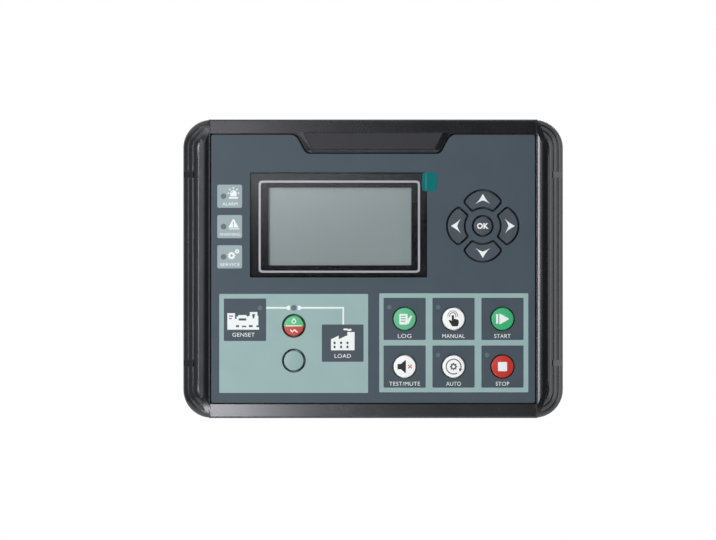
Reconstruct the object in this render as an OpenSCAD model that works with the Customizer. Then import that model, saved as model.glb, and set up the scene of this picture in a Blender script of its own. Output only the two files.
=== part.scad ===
// Panel-mounted controller for a generating set: a moulded front bezel with a printed face, thirteen
// push keys and a display behind a lens, two circuit boards, and a rear cover with plug-in terminals.
// X is to the right, Z is up and the face looks along -Y. The origin is the centre of the panel
// cut-out, in the plane where the front sits on the panel. Sizes are in millimetres.

/* [Front] */
// Width of the front
front_w = 242; // [238:1:250]
// Height of the front
front_h = 190; // [188:1:198]
// Corner radius of the front
corner_r = 18; // [15:0.5:22]
// Level of the printed face above the panel
face_level = 11.2; // [10.8:0.1:13]
// Width of the recess for the printed face
face_w = 207.4; // [205:0.2:209]
// Height of the strips above and below the printed face
strip_h = 9; // [8:0.5:11]
// Corner radius of the recess
face_r = 1.4; // [1.2:0.1:3]
// Width of the shadow gap round the printed sheet
face_gap = 0.8; // [0.5:0.1:1]
// Depth of the shadow gap below the sheet's seat
gap_deep = 1.2; // [0.8:0.1:1.6]
// Thickness of the printed sheet
overlay_t = 0.5; // [0.3:0.1:0.8]
// Thickness of the bezel's wall behind the sheet
front_wall = 2.6; // [2.2:0.1:3.2]

/* [Side wings and ridges] */
// Width of each beaded wing
wing_w = 9.5; // [8.6:0.1:10.4]
// Level of the crown of the outermost bead
wing_edge = 4.2; // [3.8:0.1:4.6]
// Rise from one bead to the next
bead_step = 2.6; // [2:0.1:3]
// Distance of the bridges across the beads from the middle height
bridge_y = 60; // [45:1:64]
// Height of a bridge
bridge_h = 4; // [3:0.5:6]
// Rise of the side ridges above the face
ridge_rise = 1.6; // [1:0.1:2.2]
// Length over which a ridge tapers to its end
bow_len = 27; // [22:1:32]
// Radius of the tapering edge of a ridge
bow_r = 55; // [52:1:70]
// Length of the rounded nose at each end of a ridge
ridge_nose = 15; // [12:0.5:18]
// Rise of the top and bottom strips beside the face
strip_rise = 0.4; // [0.2:0.1:0.8]
// Fall of the strips towards the outer edge
strip_fall = 3; // [2:0.1:4]

/* [Visor and badge] */
// Level of the visor above the face
visor_rise = 1.8; // [1.2:0.1:2.4]
// Distance of the visor below the top of the front
visor_drop = 8.1; // [7:0.1:8.4]
// Height of the visor
visor_tall = 13.1; // [11:0.1:14.5]
// Half width of the visor's foot at its lower edge
visor_foot = 42; // [40:0.5:45]
// Half width of the visor's crown at its lower edge
visor_crown = 39; // [35:0.5:39.5]
// Outward lean of the visor's ends
visor_lean = 7; // [5:0.5:9]
// Thickness of the badge plate
badge_t = 0.7; // [0.5:0.1:1]

/* [Display] */
// Position of the lens to the right of the middle
lens_x = -22; // [-24:0.5:-20]
// Position of the lens above the middle
lens_y = 27.9; // [26:0.1:30]
// Width of the lens
lens_w = 112.4; // [108:0.2:115]
// Height of the lens
lens_h = 66.6; // [63:0.2:69]
// Thickness of the lens
lens_t = 1.6; // [1.2:0.1:1.9]
// Depth of the lens below the face
lens_drop = 0.6; // [0.4:0.1:0.8]
// Width of the display's viewing area
view_w = 90.8; // [86:0.2:92]
// Height of the display's viewing area
view_h = 49.4; // [46:0.2:51]
// Width of the rim of the display module round its viewing area
module_rim = 5.5; // [4.5:0.1:6.5]
// Thickness of the display's glass
glass_t = 2.6; // [2:0.1:3]
// Width of the pull tab on the lens film
tab_w = 9.2; // [7:0.2:12]
// Height of the pull tab
tab_h = 11.6; // [9:0.1:15]

/* [Keys] */
// Rise of the round keys above the face
key_rise = 0.9; // [0.6:0.1:1.4]
// Travel of a key
key_travel = 1; // [0.8:0.1:1.2]
// Thickness of the flange that keeps a key in
key_flange = 1; // [0.8:0.1:1.2]
// Overlap of the flange behind the bezel's wall
key_overlap = 0.9; // [0.6:0.1:1.1]
// Diameter of the holes for the six function keys
grid_hole = 15.6; // [14.6:0.1:16]
// Gap round a function key
grid_gap = 0.8; // [0.6:0.1:1]
// Middle of the function keys to the right
grid_x = 51.1; // [50:0.1:51.6]
// Middle of the function keys above the middle
grid_y = -47; // [-47.4:0.1:-45]
// Spacing of the function keys across
grid_pitch_x = 31.1; // [29:0.1:31.4]
// Spacing of the function keys up and down
grid_pitch_y = 30.3; // [28:0.1:30.6]
// Diameter of the holes for the two keys on the diagram
mimic_hole = 14.7; // [13.6:0.1:15.4]
// Gap round a key on the diagram
mimic_gap = 1.1; // [0.8:0.1:1.3]
// Position of the keys on the diagram to the right
mimic_x = -50.4; // [-53:0.1:-48]
// Height of the middle between the two keys on the diagram
mimic_y = -47.3; // [-48:0.1:-46]
// Spacing of the two keys on the diagram
mimic_pitch = 22.1; // [20.5:0.1:24]
// Middle of the navigation keys to the right
nav_x = 69.7; // [68.5:0.1:71]
// Middle of the navigation keys above the middle
nav_y = 27.2; // [25:0.1:29]
// Diameter of the hole for the middle navigation key
ok_hole = 14; // [13:0.1:14.4]
// Gap round the navigation keys
nav_gap = 1.2; // [0.9:0.1:1.3]
// Reach of an arrow key from the middle
petal_reach = 23.4; // [22.6:0.1:24]
// Radius of an arrow key's outer edge
petal_out_r = 13.9; // [13:0.1:15]
// Radius of an arrow key's inner edge
petal_in_r = 10.8; // [10.4:0.1:11.2]
// Half angle between an arrow key's sides
petal_half = 42; // [40:0.5:42]

/* [Indicators] */
// Diameter of a light guide
guide_d = 3; // [2.4:0.1:3.2]
// Position of the status tiles' indicators to the right
tile_led_x = -95.1; // [-96:0.1:-94]
// Height of the middle status indicator
tile_led_y = 26.8; // [25:0.1:28]
// Spacing of the status indicators
tile_pitch = 19.1; // [17:0.1:19.6]
// Distance of a function key's indicator to the left of the key
led_left = 9.8; // [9.4:0.1:10.4]
// Distance of a function key's indicator above the key
led_up = 7.4; // [7:0.1:8]
// Height of the indicators on the diagram's line
line_led_y = -24.8; // [-25.2:0.1:-24.2]
// Position of the diagram's left indicator
line_led_x = -71.9; // [-73:0.1:-70]

/* [Boards] */
// Distance of the main board behind the bezel's wall
board_gap = 6.3; // [5.8:0.1:6.8]
// Thickness of the circuit boards
board_t = 1.6; // [1.2:0.1:2]
// Distance between the two boards
stack_gap = 13; // [12.4:0.2:13.4]
// Distance of the corner spacers from the middle, across
spacer_x = 92; // [91.6:0.1:92.4]
// Distance of the corner spacers from the middle, up and down
spacer_y = 70.4; // [70:0.1:70.8]
// Distance across the flats of a spacer
spacer_af = 5.5; // [5:0.1:6]
// Diameter of the machine screws inside
screw_d = 2.9; // [2.5:0.1:3]

/* [Rear cover] */
// Width of the panel cut-out
cutout_w = 214; // [213:0.5:216]
// Height of the panel cut-out
cutout_h = 160; // [159:0.5:162]
// Clearance of the cover in the cut-out, each side
cutout_play = 0.75; // [0.5:0.05:1]
// Wall thickness of the rear cover
cover_wall = 2.2; // [1.8:0.1:2.6]
// Depth of the cover at its terminal ledges
ledge_d = 24; // [23:0.5:26]
// Depth of the cover at its deck
deck_d = 41; // [39:0.5:46]
// Width of the deck
deck_w = 196; // [190:1:200]
// Height of the deck
deck_h = 98; // [96:1:101]
// Vent slots in each group
vent_count = 9; // [5:1:10]
// Width of a vent slot
vent_w = 2; // [1.5:0.1:2.6]
// Length of a vent slot
vent_len = 40; // [24:1:48]

/* [Terminals] */
// Spacing of the terminals
pole_pitch = 5.08; // [4.8:0.02:5.2]
// Poles of the top block
poles_top = 20; // [12:1:24]
// Poles of the lower left block
poles_left = 14; // [8:1:15]
// Poles of the lower right block
poles_right = 12; // [8:1:15]
// Distance of the terminal rows from the middle
terminal_y = 65; // [64:0.5:66]
// Reach of a plug behind its header
plug_reach = 14; // [12:0.5:15]

/* [Panel fixing] */
// Thickest panel that the clips are set for
panel_grip = 2.8; // [2.4:0.1:3.6]
// Distance of the clips from the middle
clip_x = 70; // [60:1:80]
// Distance of a clip's screw from the cover
clip_reach = 9.15; // [8.6:0.05:10]
// Diameter of a clip screw
clip_screw_d = 4; // [3.5:0.1:4.5]
// Land between the cut-out and the gasket
seal_land = 2; // [1.5:0.1:2.5]
// Width of the gasket's groove
seal_w = 4; // [3:0.1:4.6]
// Depth of the gasket's groove
seal_d = 1.5; // [1:0.1:2]

/* [Hidden] */
$fn = 48;
fit = 0.15;
play = 0.1;
cut = 1;
seam = 0.2;

// Levels along the outward direction of the face
floor_z = face_level - overlay_t;
wall_z = floor_z - front_wall;
lens_front = face_level - lens_drop;
lens_back = lens_front - lens_t;
board_front = wall_z - board_gap;
board_back = board_front - board_t;
power_front = board_back - stack_gap;
power_back = power_front - board_t;
flange_top = wall_z - play;
key_foot = flange_top - key_flange;
key_top = face_level + key_rise;
mat_t = 1;
dome_top = key_foot - play;

// Front shape
face_h = front_h - 2 * strip_h;
ridge_w = front_w / 2 - wing_w - face_w / 2;
ridge_foot = face_level + strip_rise / 2;
ridge_top = face_level + ridge_rise;
ridge_sag = ridge_top - ridge_foot;
ridge_r = (ridge_w * ridge_w / 4 + ridge_sag * ridge_sag) / (2 * ridge_sag);
ridge_tip = 0.6;
ridge_edge = 0.8;
ridge_lean = 7;
strip_edge = 1;
strip_level = face_level + strip_rise;
nose_low = strip_level - strip_fall - strip_edge / 2;
bow_y = front_h / 2 - bow_len;
bow_start = [front_w / 2 - wing_w, bow_y];
bow_end = [face_w / 2 + ridge_tip, front_h / 2];
beads = 3;
bead_lip = 0.25;
bead_pitch = (wing_w - bead_lip) / beads;
bead_tilt = atan2(bead_step, bead_pitch);
bead_r = 6;
bridge_rise = 0.2;
wing_core = wing_w + 2;
core_top = wing_edge + (beads - 1) * bead_step - cut;
core_size = [front_w - 2 * wing_core + seam, front_h - 2 * wing_core + seam];
visor_top = face_level + visor_rise;
visor_high = front_h / 2 - visor_drop;
visor_low = visor_high - visor_tall;
visor_round = 4.5;
visor_step = 1.6;
visor_ledge = 0.3;
visor_root = 5;
visor_back = 0.1;
badge_rim = 0.6;

// Display module
view_x = lens_x + 0.8;
view_y = lens_y - 1;
window_margin = 3;
frame_w = view_w + 2 * module_rim;
frame_h = view_h + 2 * module_rim;
frame_t = 0.5;
frame_top = wall_z - play;
frame_in = [frame_w - 2 * frame_t, frame_h - 2 * frame_t];
glass_size = frame_in - [2 * fit, 2 * fit];
glass_top = frame_top - frame_t - play;
film_t = 0.1;
film_gap = 0.02;
film_rim = 0.8;
tab_t = 0.15;
tab_r = 1.5;
tab_lap = 3;
tab_step = 1;
tab_lift = 0.05;

// Keys
grid_cap_r = grid_hole / 2 - grid_gap;
mimic_cap_r = mimic_hole / 2 - mimic_gap;
ok_cap_r = ok_hole / 2 - nav_gap;
hole_step = 0.25;
petal_apex = 0.9;
petal_round = 3.4;
petal_skip = 12;
corner_steps = 4;
arrow_edge = 0.35;
cap_edge = 0.6;
cap_crown = 0.3;
dome_foot_r = 5;
dome_top_r = 3.4;
dome_wall = 0.6;
dome_skin = 0.4;
dome_free = 1.4;
mat_margin = 5;
guide_pass = 2.4;
petal_mid = (petal_reach + petal_in_r) / 2;
arc_steps = 20;
up_y = grid_y + grid_pitch_y / 2;
low_y = grid_y - grid_pitch_y / 2;
breaker_y = mimic_y + mimic_pitch / 2;
spare_y = mimic_y - mimic_pitch / 2;
left_x = grid_x - grid_pitch_x;
right_x = grid_x + grid_pitch_x;
log_at = [left_x, up_y];
manual_at = [grid_x, up_y];
start_at = [right_x, up_y];
mute_at = [left_x, low_y];
auto_at = [grid_x, low_y];
stop_at = [right_x, low_y];
breaker_at = [mimic_x, breaker_y];
spare_at = [mimic_x, spare_y];
nav_at = [nav_x, nav_y];
grid_keys = [log_at, manual_at, start_at, mute_at, auto_at, stop_at];
led_step = [-led_left, led_up];
guides = [
    [tile_led_x, tile_led_y + tile_pitch], [tile_led_x, tile_led_y], [tile_led_x, tile_led_y - tile_pitch],
    [line_led_x, line_led_y], [mimic_x, line_led_y],
    log_at + led_step, manual_at + led_step, auto_at + led_step, stop_at + led_step
];
led_h = 0.8;
led_size = [3.2, 2.6];

// Cover, boards and their fixings
cover_w = cutout_w - 2 * cutout_play;
cover_h = cutout_h - 2 * cutout_play;
cover_r = 4;
cover_seat = 0.6;
cavity_w = cover_w - 2 * cover_wall - 1.2;
cavity_h = cover_h - 2 * cover_wall - 1.2;
cavity_r = 3;
board_w = cavity_w - 5;
board_h = cavity_h - 5;
board_notch = 6;
column_r = 3.75;
column_x = cover_w / 2 - cover_wall - column_r + 0.6;
column_y = cover_h / 2 - cover_wall - column_r + 0.6;
boss_r = 3.4;
mid_boss_x = 97;
mid_boss_y = -6;
bore_d = screw_d + 2 * play;
board_hole = screw_d + 0.4;
head_r = screw_d * 0.95;
head_t = 1.9;
head_sink = head_t + 0.6;
head_play = 0.3;
slot_w = 0.6;
slot_d = 0.9;
stud_len = 4;
deck_r = 6;
vent_rib = 3;
vent_edge = 14;
seal_out_w = cutout_w + 2 * (seal_land + seal_w);
seal_out_h = cutout_h + 2 * (seal_land + seal_w);
seal_r = cover_r + seal_land + seal_w;

// Parts on the main board; a chip is its place, its size and its thickness
chips = [
    [-30, 22, 14, 14, 1.4], [10, 30, 10, 7, 1.2], [-64, 8, 8, 5, 1.5],
    [24, -36, 12, 7.5, 1.6], [-24, -34, 10, 10, 1.2]
];
buzzer_at = [-74, -44];
buzzer_r = 6;
buzzer_d = 8.5;
port_r = 1;
port_d = 2.5;
cell_at = [62, -34];
cell_r = 10;
cell_d = 4.4;
cell_seat = 1.2;
cell_rim = 1.1;
cell_step = 0.3;
holder_r = 11.6;
holder_play = 0.2;
holder_slot = [9, 8];
link_at = [0, -8];
link_len = 51;
link_w = 5;
link_pins = 20;
link_pitch = 2.54;
link_pin = 0.64;
link_base = 2.5;
socket_h = 8.5;
socket_floor = 1.5;
socket_end = 1.6;
socket_slot = 1.4;

// Parts on the power board
part_y = 28;
relay_count = 7;
relay_w = 19;
relay_h = 15.4;
relay_d = 15.4;
relay_pitch = 23;
capacitor_count = 4;
capacitor_r = 6.2;
cross_l = 7;
cross_d = 0.4;
capacitor_d = 20;
capacitor_x = 22;
capacitor_pitch = 17;
core_count = 3;
core_w = 20;
core_h = 17;
core_d = 18;
core_x = 74;
core_pitch = 26;
core_bore = 3;

// Terminals
plug_end = 1.5;
header_h = 12.4;
header_mouth = -ledge_d - 1;
header_floor = 2;
header_wall = 1.3;
nose_d = 6;
nose_slot_h = 2.4;
nose_slot_d = 5;
nose_h = header_h - 2 * header_wall - 2 * fit;
plug_h = header_h;
plug_slope = 0.65;
plug_cut = 3;
plug_edge = 0.8;
block_gap = 6;
low_span = (poles_left + poles_right) * pole_pitch + 4 * plug_end + block_gap;
left_block_x = -low_span / 2 + poles_left * pole_pitch / 2 + plug_end;
right_block_x = low_span / 2 - poles_right * pole_pitch / 2 - plug_end;
blocks = [[0, 1, poles_top], [left_block_x, -1, poles_left], [right_block_x, -1, poles_right]];
well_d = 3.6;
well_depth = 4;
well_at = 5.5;
wire_w = 3;
wire_h = 3.2;
wire_depth = 9;
wire_drop = 1.8;
terminal_screw_h = 2;

// Panel clips
clip_w = 12;
clip_slot_w = 9;
clip_slot_h = 3.2;
clip_z = -13;
clip_plate = 2.4;
clip_block = 8;
clip_rim = 2.6;
clip_out = clip_reach + clip_screw_d / 2 + clip_rim;
clip_screw_end = clip_z - 17;
clip_head = 2.6;
clip_short = 3;
clip_inset = 1;
clip_rib = 3.6;
hook_in = cover_wall + 1.4;
hook_drop = 1.8;
hook_t = 1.2;

// Points along an arc
function arc_points(centre, r, from, to, steps) =
    [for (i = [0:steps]) let (a = from + (to - from) * i / steps) centre + r * [cos(a), sin(a)]];

// Points of a fillet at one corner of an outline
function fillet(before, at, after, r, steps) =
    let (
        u = (before - at) / norm(before - at),
        v = (after - at) / norm(after - at),
        half = acos(u * v) / 2,
        centre = at + (u + v) / norm(u + v) * r / sin(half),
        first = at + u * r / tan(half) - centre,
        last = at + v * r / tan(half) - centre,
        a = atan2(first.y, first.x),
        turn = (atan2(last.y, last.x) - a + 540) % 360 - 180
    )
    arc_points(centre, r, a, a + turn, steps);

// An outline with a fillet at every corner whose radius isn't zero
function rounded(points, radii, steps = 5) =
    let (n = len(points))
    [for (i = [0:n - 1]) each radii[i] == 0
        ? [points[i]]
        : fillet(points[(i + n - 1) % n], points[i], points[(i + 1) % n], radii[i], steps)];

// Distance along a ray to the far side of a circle
function reach(from, along, centre, r) =
    let (m = from - centre, b = m * along)
    sqrt(b * b - m * m + r * r) - b;

// Centre of an arc of a given radius that turns left from one point to the next
function arc_centre(p, q, r) =
    let (d = q - p, l = norm(d), h = sqrt(r * r - l * l / 4))
    (p + q) / 2 + h / l * [-d.y, d.x];

// Outline of an arrow key that points up, set in by d
function petal(d) =
    let (
        along = [sin(petal_half), cos(petal_half)],
        apex = [0, petal_apex + d / sin(petal_half)],
        centre = [0, petal_reach - petal_out_r],
        outer = apex + along * reach(apex, along, centre, petal_out_r - d),
        inner = apex + along * reach(apex, along, [0, 0], petal_in_r + d),
        a_out = atan2(outer.y - centre.y, outer.x),
        a_in = atan2(inner.y, inner.x) + petal_skip,
        out_arc = arc_points(centre, petal_out_r - d, a_out, 180 - a_out, arc_steps),
        in_arc = arc_points([0, 0], petal_in_r + d, 180 - a_in, a_in, arc_steps - 2),
        outline = concat([inner], out_arc, [[-inner.x, inner.y]], in_arc),
        r = petal_round - max(d, 0) / 2,
        out_round = r / 1.6,
        in_round = r / 2,
        last = arc_steps + 2
    )
    rounded(outline, [for (i = [0:len(outline) - 1]) i == 0 || i == last
        ? in_round
        : i == 1 || i == last - 1 ? out_round : 0], corner_steps);

// Quads that fill a petal's ring of n points from its outer edge to its inner edge
function petal_cap(n) =
    let (c = corner_steps + 1)
    [for (k = [0:n / 2 - 2]) [c + k, c + k + 1, (n + c - 2 - k) % n, (n + c - 1 - k) % n]];

// Length of a terminal block
function block_len(b) = b[2] * pole_pitch + 2 * plug_end;

// Place of one pole of a terminal block
function pole_x(b, i) = (i - (b[2] - 1) / 2) * pole_pitch;

// Corners of a rectangle
function rectangle(w, h) = [[w / 2, h / 2], [-w / 2, h / 2], [-w / 2, -h / 2], [w / 2, -h / 2]];

// Outline of the visor at its foot or, set in, at its crown
function visor_outline(half, low, high, lean) =
    [[half + lean, high], [-half - lean, high], [-half, low], [half, low]];

// Points of a ring at one level
function level(points, z) = [for (p = points) [p.x, p.y, z]];

// Turns a shape drawn with the face towards +Z into the object's frame
module facing() {
    rotate([90, 0, 0]) children();
}

module prism(from, to) {
    translate([0, 0, from]) linear_extrude(to - from) children();
}

module at(p) {
    translate([p.x, p.y, 0]) children();
}

// Extrudes a side view, drawn across and outward, along the width
module along_x(l) {
    rotate([90, 0, 90]) linear_extrude(l, center = true) children();
}

// Extrudes a top view, drawn across and outward, along the height
module along_y(l) {
    rotate([90, 0, 0]) linear_extrude(l, center = true) children();
}

module round_rect(w, h, r) {
    polygon(rounded(rectangle(w, h), [r, r, r, r]));
}

module ring(w, h, r, t) {
    difference() {
        round_rect(w, h, r);
        round_rect(w - 2 * t, h - 2 * t, max(r - t, 0.5));
    }
}

module cylinder_between(from, to, r) {
    translate([0, 0, from]) cylinder(h = to - from, r = r);
}

// Joins rings of points, one above the next, into a solid; its ends are one face or the given ones
module loft(rings, ends = []) {
    n = len(rings[0]);
    top = (len(rings) - 1) * n;
    foot = len(ends) > 0 ? ends : [[for (i = [0:n - 1]) i]];
    polyhedron(
        points = [for (r = rings) each r],
        faces = concat(
            foot,
            [for (f = foot) [for (i = [len(f) - 1:-1:0]) top + f[i]]],
            [for (j = [0:len(rings) - 2], i = [0:n - 1])
                [j * n + i, (j + 1) * n + i, (j + 1) * n + (i + 1) % n, j * n + (i + 1) % n]]
        )
    );
}

// Sweeps a profile, drawn inward from the edge and up, round a rounded rectangle
module rim_sweep(w, h, r) {
    for (turn = [0, 1, 2, 3]) {
        long = turn % 2 == 0 ? w : h;
        tall = turn % 2 == 0 ? h : w;
        rotate([0, 0, 90 * turn]) {
            translate([long / 2 - r, tall / 2 - r, 0])
                rotate_extrude(angle = 90) translate([r, 0]) mirror([1, 0]) children();
            translate([long / 2, 0, 0]) along_y(tall - 2 * r) mirror([1, 0]) children();
        }
    }
}

// Section of a wing: shallow beads that rise in steps towards the face
module wing_section() {
    first = [bead_lip + bead_pitch / 2, wing_edge] + bead_r * [sin(bead_tilt), -cos(bead_tilt)];
    last = first + (beads - 1) * [bead_pitch, bead_step];
    intersection() {
        square([wing_core, face_level]);
        union() {
            polygon([[0, 0], [wing_core, 0], [wing_core, core_top], last, first, [0, first.y]]);
            for (i = [0:beads - 1]) translate(first + i * [bead_pitch, bead_step]) circle(bead_r);
        }
    }
}

// Bars that bridge the two outer beads of a wing
module wing_bridges() {
    low = wing_edge - bead_step / 2 + bridge_rise;
    long = 2 * bead_pitch;
    for (s = [-1, 1], t = [-1, 1]) translate([s * front_w / 2, t * bridge_y, 0])
        mirror([s > 0 ? 1 : 0, 0, 0]) translate([bead_lip, 0, 0]) along_y(bridge_h)
            polygon([[0, 0], [long, 0], [long, low + 2 * bead_step], [0, low]]);
}

// Plan of the right ridge: straight inside, tapering to both ends outside
module ridge_plan() {
    difference() {
        translate([face_w / 2, -front_h / 2]) square([ridge_w, front_h]);
        for (s = [0, 1]) mirror([0, s]) difference() {
            translate([face_w / 2 - cut, bow_y]) square([ridge_w + 2 * cut, bow_len + cut]);
            translate(arc_centre(bow_start, bow_end, bow_r)) circle(bow_r);
        }
    }
}

// Section of the right ridge: round inside, a slight fall outside and a rounded edge
module ridge_section() {
    inside = face_w / 2;
    outside = inside + ridge_w;
    crest = [inside + ridge_w / 2, ridge_top - ridge_r];
    start = asin(ridge_w / 2 / ridge_r);
    turn = crest + ridge_r * [sin(ridge_lean), cos(ridge_lean)];
    edge_x = outside - ridge_edge;
    edge_run = edge_x + ridge_edge * sin(ridge_lean) - turn.x;
    edge = [edge_x, turn.y - edge_run * tan(ridge_lean) - ridge_edge * cos(ridge_lean)];
    polygon(concat(
        [[inside, 0], [outside, 0]],
        arc_points(edge, ridge_edge, 0, 90 - ridge_lean, 6),
        arc_points(crest, ridge_r, 90 - ridge_lean, 90 + start, 12)
    ));
}

// Right ridge, tapering in plan and falling towards its ends
module ridge() {
    fall = ridge_top - nose_low;
    nose_r = (ridge_nose * ridge_nose + fall * fall) / (2 * fall) * 1.1;
    nose_y = front_h / 2 - ridge_nose;
    intersection() {
        prism(0, ridge_top + cut) ridge_plan();
        along_y(front_h) ridge_section();
        translate([(face_w + ridge_w) / 2, 0, 0]) along_x(ridge_w + 2 * cut) difference() {
            translate([-front_h / 2, 0]) square([front_h, ridge_top + cut]);
            for (s = [0, 1]) mirror([s, 0]) difference() {
                translate([nose_y, nose_low]) square([ridge_nose + cut, fall + 2 * cut]);
                translate(arc_centre([front_h / 2, nose_low], [nose_y, ridge_top], nose_r)) circle(nose_r);
            }
        }
    }
}

// Flat strips above and below the face
module strips() {
    outer = front_h / 2;
    inner = face_h / 2;
    low = strip_level - strip_fall;
    along_x(face_w + 2 * seam) polygon([
        [-outer, 0], [outer, 0], [outer, low - strip_edge], [outer - strip_edge, low], [inner, strip_level],
        [-inner, strip_level], [-outer + strip_edge, low], [-outer, low - strip_edge]
    ]);
}

// Visor: a bevelled tongue that hangs from the top strip into the face
module visor() {
    foot_plan = visor_outline(visor_foot - visor_ledge, visor_low + visor_ledge, visor_high, visor_lean);
    foot = rounded(foot_plan, [0, 0, visor_round, visor_round]);
    crown = rounded(visor_crown_outline(0), [0, 0, 1, 1]);
    loft([level(foot, strip_level - cut), level(foot, strip_level), level(crown, visor_top)]);
}

function visor_crown_outline(d) =
    visor_outline(visor_crown - d, visor_low + visor_step + d, visor_high - visor_back - d, visor_lean * 0.8);

// Plan of the recess for the printed sheet, or of the sheet itself set in by d
module face_plan(d) {
    w = face_w / 2 - d;
    h = face_h / 2 - d;
    low = visor_low - d;
    half = visor_foot + d;
    slope = visor_lean / (visor_high - visor_low);
    lean = (h - low) * slope;
    polygon(rounded(
        [[w, -h], [w, h], [half + lean, h], [half, low], [-half, low], [-half - lean, h], [-w, h], [-w, -h]],
        [face_r, face_r, visor_root + d, visor_round, visor_round, visor_root + d, face_r, face_r]
    ));
}

// Openings for all keys, set in by d from the sheet's holes
module key_holes(d) {
    for (p = grid_keys) translate(p) circle(grid_hole / 2 - d);
    for (p = [breaker_at, spare_at]) translate(p) circle(mimic_hole / 2 - d);
    translate(nav_at) {
        circle(ok_hole / 2 - d);
        for (a = [0, 90, 180, 270]) rotate(a) polygon(petal(d));
    }
}

module lens_plan(d) {
    translate([lens_x, lens_y]) round_rect(lens_w + 2 * d, lens_h + 2 * d, 0.8);
}

module spacer_places() {
    for (s = [-1, 1], t = [-1, 1]) translate([s * spacer_x, t * spacer_y, 0]) children();
}

module mid_places() {
    for (s = [-1, 1]) translate([s * mid_boss_x, mid_boss_y, 0]) children();
}

module column_places() {
    for (s = [-1, 1], t = [-1, 1]) translate([s * column_x, t * column_y, 0]) children();
}

module front_bezel() {
    color("#1b1c20") facing() difference() {
        union() {
            difference() {
                union() {
                    rim_sweep(front_w, front_h, corner_r) wing_section();
                    prism(0, core_top) square(core_size, center = true);
                    wing_bridges();
                    strips();
                    ridge();
                    mirror([1, 0, 0]) ridge();
                }
                prism(-cut, wall_z) round_rect(cavity_w, cavity_h, cavity_r);
                prism(floor_z, ridge_top + cut) face_plan(0);
                prism(floor_z - gap_deep, floor_z + cut) difference() {
                    face_plan(0);
                    face_plan(face_gap);
                }
                prism(lens_back, ridge_top) lens_plan(fit);
                prism(wall_z - cut, floor_z) translate([view_x, view_y])
                    round_rect(view_w + 2 * window_margin, view_h + 2 * window_margin, 1);
                prism(wall_z - cut, floor_z + cut) key_holes(hole_step);
                for (p = guides) at(p) cylinder_between(wall_z - cut, floor_z + cut, guide_d / 2 + fit);
                prism(-cut, cover_seat) round_rect(cover_w + 2 * fit, cover_h + 2 * fit, cover_r + fit);
                prism(-cut, seal_d) ring(seal_out_w, seal_out_h, seal_r, seal_w);
            }
            visor();
            spacer_places() cylinder_between(board_front, wall_z + cut, boss_r);
            mid_places() cylinder_between(board_front, wall_z + cut, boss_r);
            column_places() cylinder_between(cover_seat, wall_z + cut, column_r);
        }
        prism(visor_top - badge_t + play, visor_top + cut) polygon(visor_crown_outline(badge_rim - fit));
        spacer_places() cylinder_between(board_front - cut, board_front + stud_len + 0.5, bore_d / 2);
        mid_places() cylinder_between(board_front - cut, board_front + stud_len + 0.5, bore_d / 2);
        column_places() cylinder_between(-cut, stud_len + 1.5, bore_d / 2);
    }
}

module face_overlay() {
    color("#4d5761") facing() prism(floor_z, face_level) difference() {
        face_plan(face_gap);
        key_holes(0);
        lens_plan(fit);
    }
}

module badge_plate() {
    color("#3a3a40") facing() prism(visor_top - badge_t + play, visor_top + play)
        polygon(visor_crown_outline(badge_rim));
}

module display_lens() {
    color("#15171c") facing() prism(lens_back, lens_front) lens_plan(0);
}

module lens_film() {
    low = lens_front + film_gap;
    color([0.8, 0.85, 0.9, 0.3]) facing() prism(low, low + film_t) lens_plan(-film_rim);
}

// Tab that steps up from the film to the sheet beside it
module pull_tab() {
    right = lens_x + lens_w / 2;
    left = right - tab_lap;
    low = lens_front + 2 * film_gap + film_t;
    high = face_level + tab_lift;
    middle = [left + tab_w / 2, lens_y + lens_h / 2 - play - tab_h / 2];
    color("#156e6b") facing() intersection() {
        translate([0, middle.y, 0]) along_y(tab_h) polygon([
            [left, low], [right - tab_step, low], [right, high], [left + tab_w, high],
            [left + tab_w, high + tab_t], [right - play, high + tab_t],
            [right - tab_step - play, low + tab_t], [left, low + tab_t]
        ]);
        prism(low - cut, high + cut) translate(middle) round_rect(tab_w, tab_h, tab_r);
    }
}

module display_frame() {
    color("#8a8d90") facing() translate([view_x, view_y, 0]) difference() {
        prism(board_front, frame_top) round_rect(frame_w, frame_h, 1);
        prism(board_front - cut, frame_top - frame_t) square(frame_in, center = true);
        prism(board_front, frame_top + cut) square([view_w, view_h], center = true);
    }
}

module display_glass() {
    color("#8c9799") facing() translate([view_x, view_y, 0]) prism(glass_top - glass_t, glass_top)
        square(glass_size, center = true);
}

module display_backlight() {
    color("#e8e8e0") facing() translate([view_x, view_y, 0]) prism(board_front, glass_top - glass_t - play)
        square(glass_size, center = true);
}

// Arrow key: a crowned petal on a wider flange
module arrow_key(turn) {
    flange = petal(hole_step - key_overlap);
    side = petal(nav_gap);
    facing() at(nav_at) rotate([0, 0, turn]) loft([
        level(flange, key_foot), level(flange, flange_top), level(side, flange_top),
        level(side, key_top - arrow_edge),
        level(petal(nav_gap + arrow_edge / 3), key_top - arrow_edge / 3),
        level(petal(nav_gap + arrow_edge), key_top)
    ], petal_cap(len(side)));
}

// Round key: a softly crowned cap on a wider flange
module round_key(p, cap_r, hole_r) {
    flange_r = hole_r - hole_step + key_overlap;
    facing() at(p) rotate_extrude() polygon(concat(
        [[0, key_foot], [flange_r, key_foot], [flange_r, flange_top], [cap_r, flange_top]],
        arc_points([cap_r - cap_edge, key_top - cap_edge], cap_edge, 0, 75, 4),
        [[cap_r * 0.55, key_top + cap_crown * 0.75], [0, key_top + cap_crown]]
    ));
}

module key_up() {
    color("#4a535c") arrow_key(0);
}

module key_left() {
    color("#4a535c") arrow_key(90);
}

module key_down() {
    color("#4a535c") arrow_key(180);
}

module key_right() {
    color("#4a535c") arrow_key(270);
}

module key_ok() {
    color("#4a535c") round_key(nav_at, ok_cap_r, ok_hole / 2);
}

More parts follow.
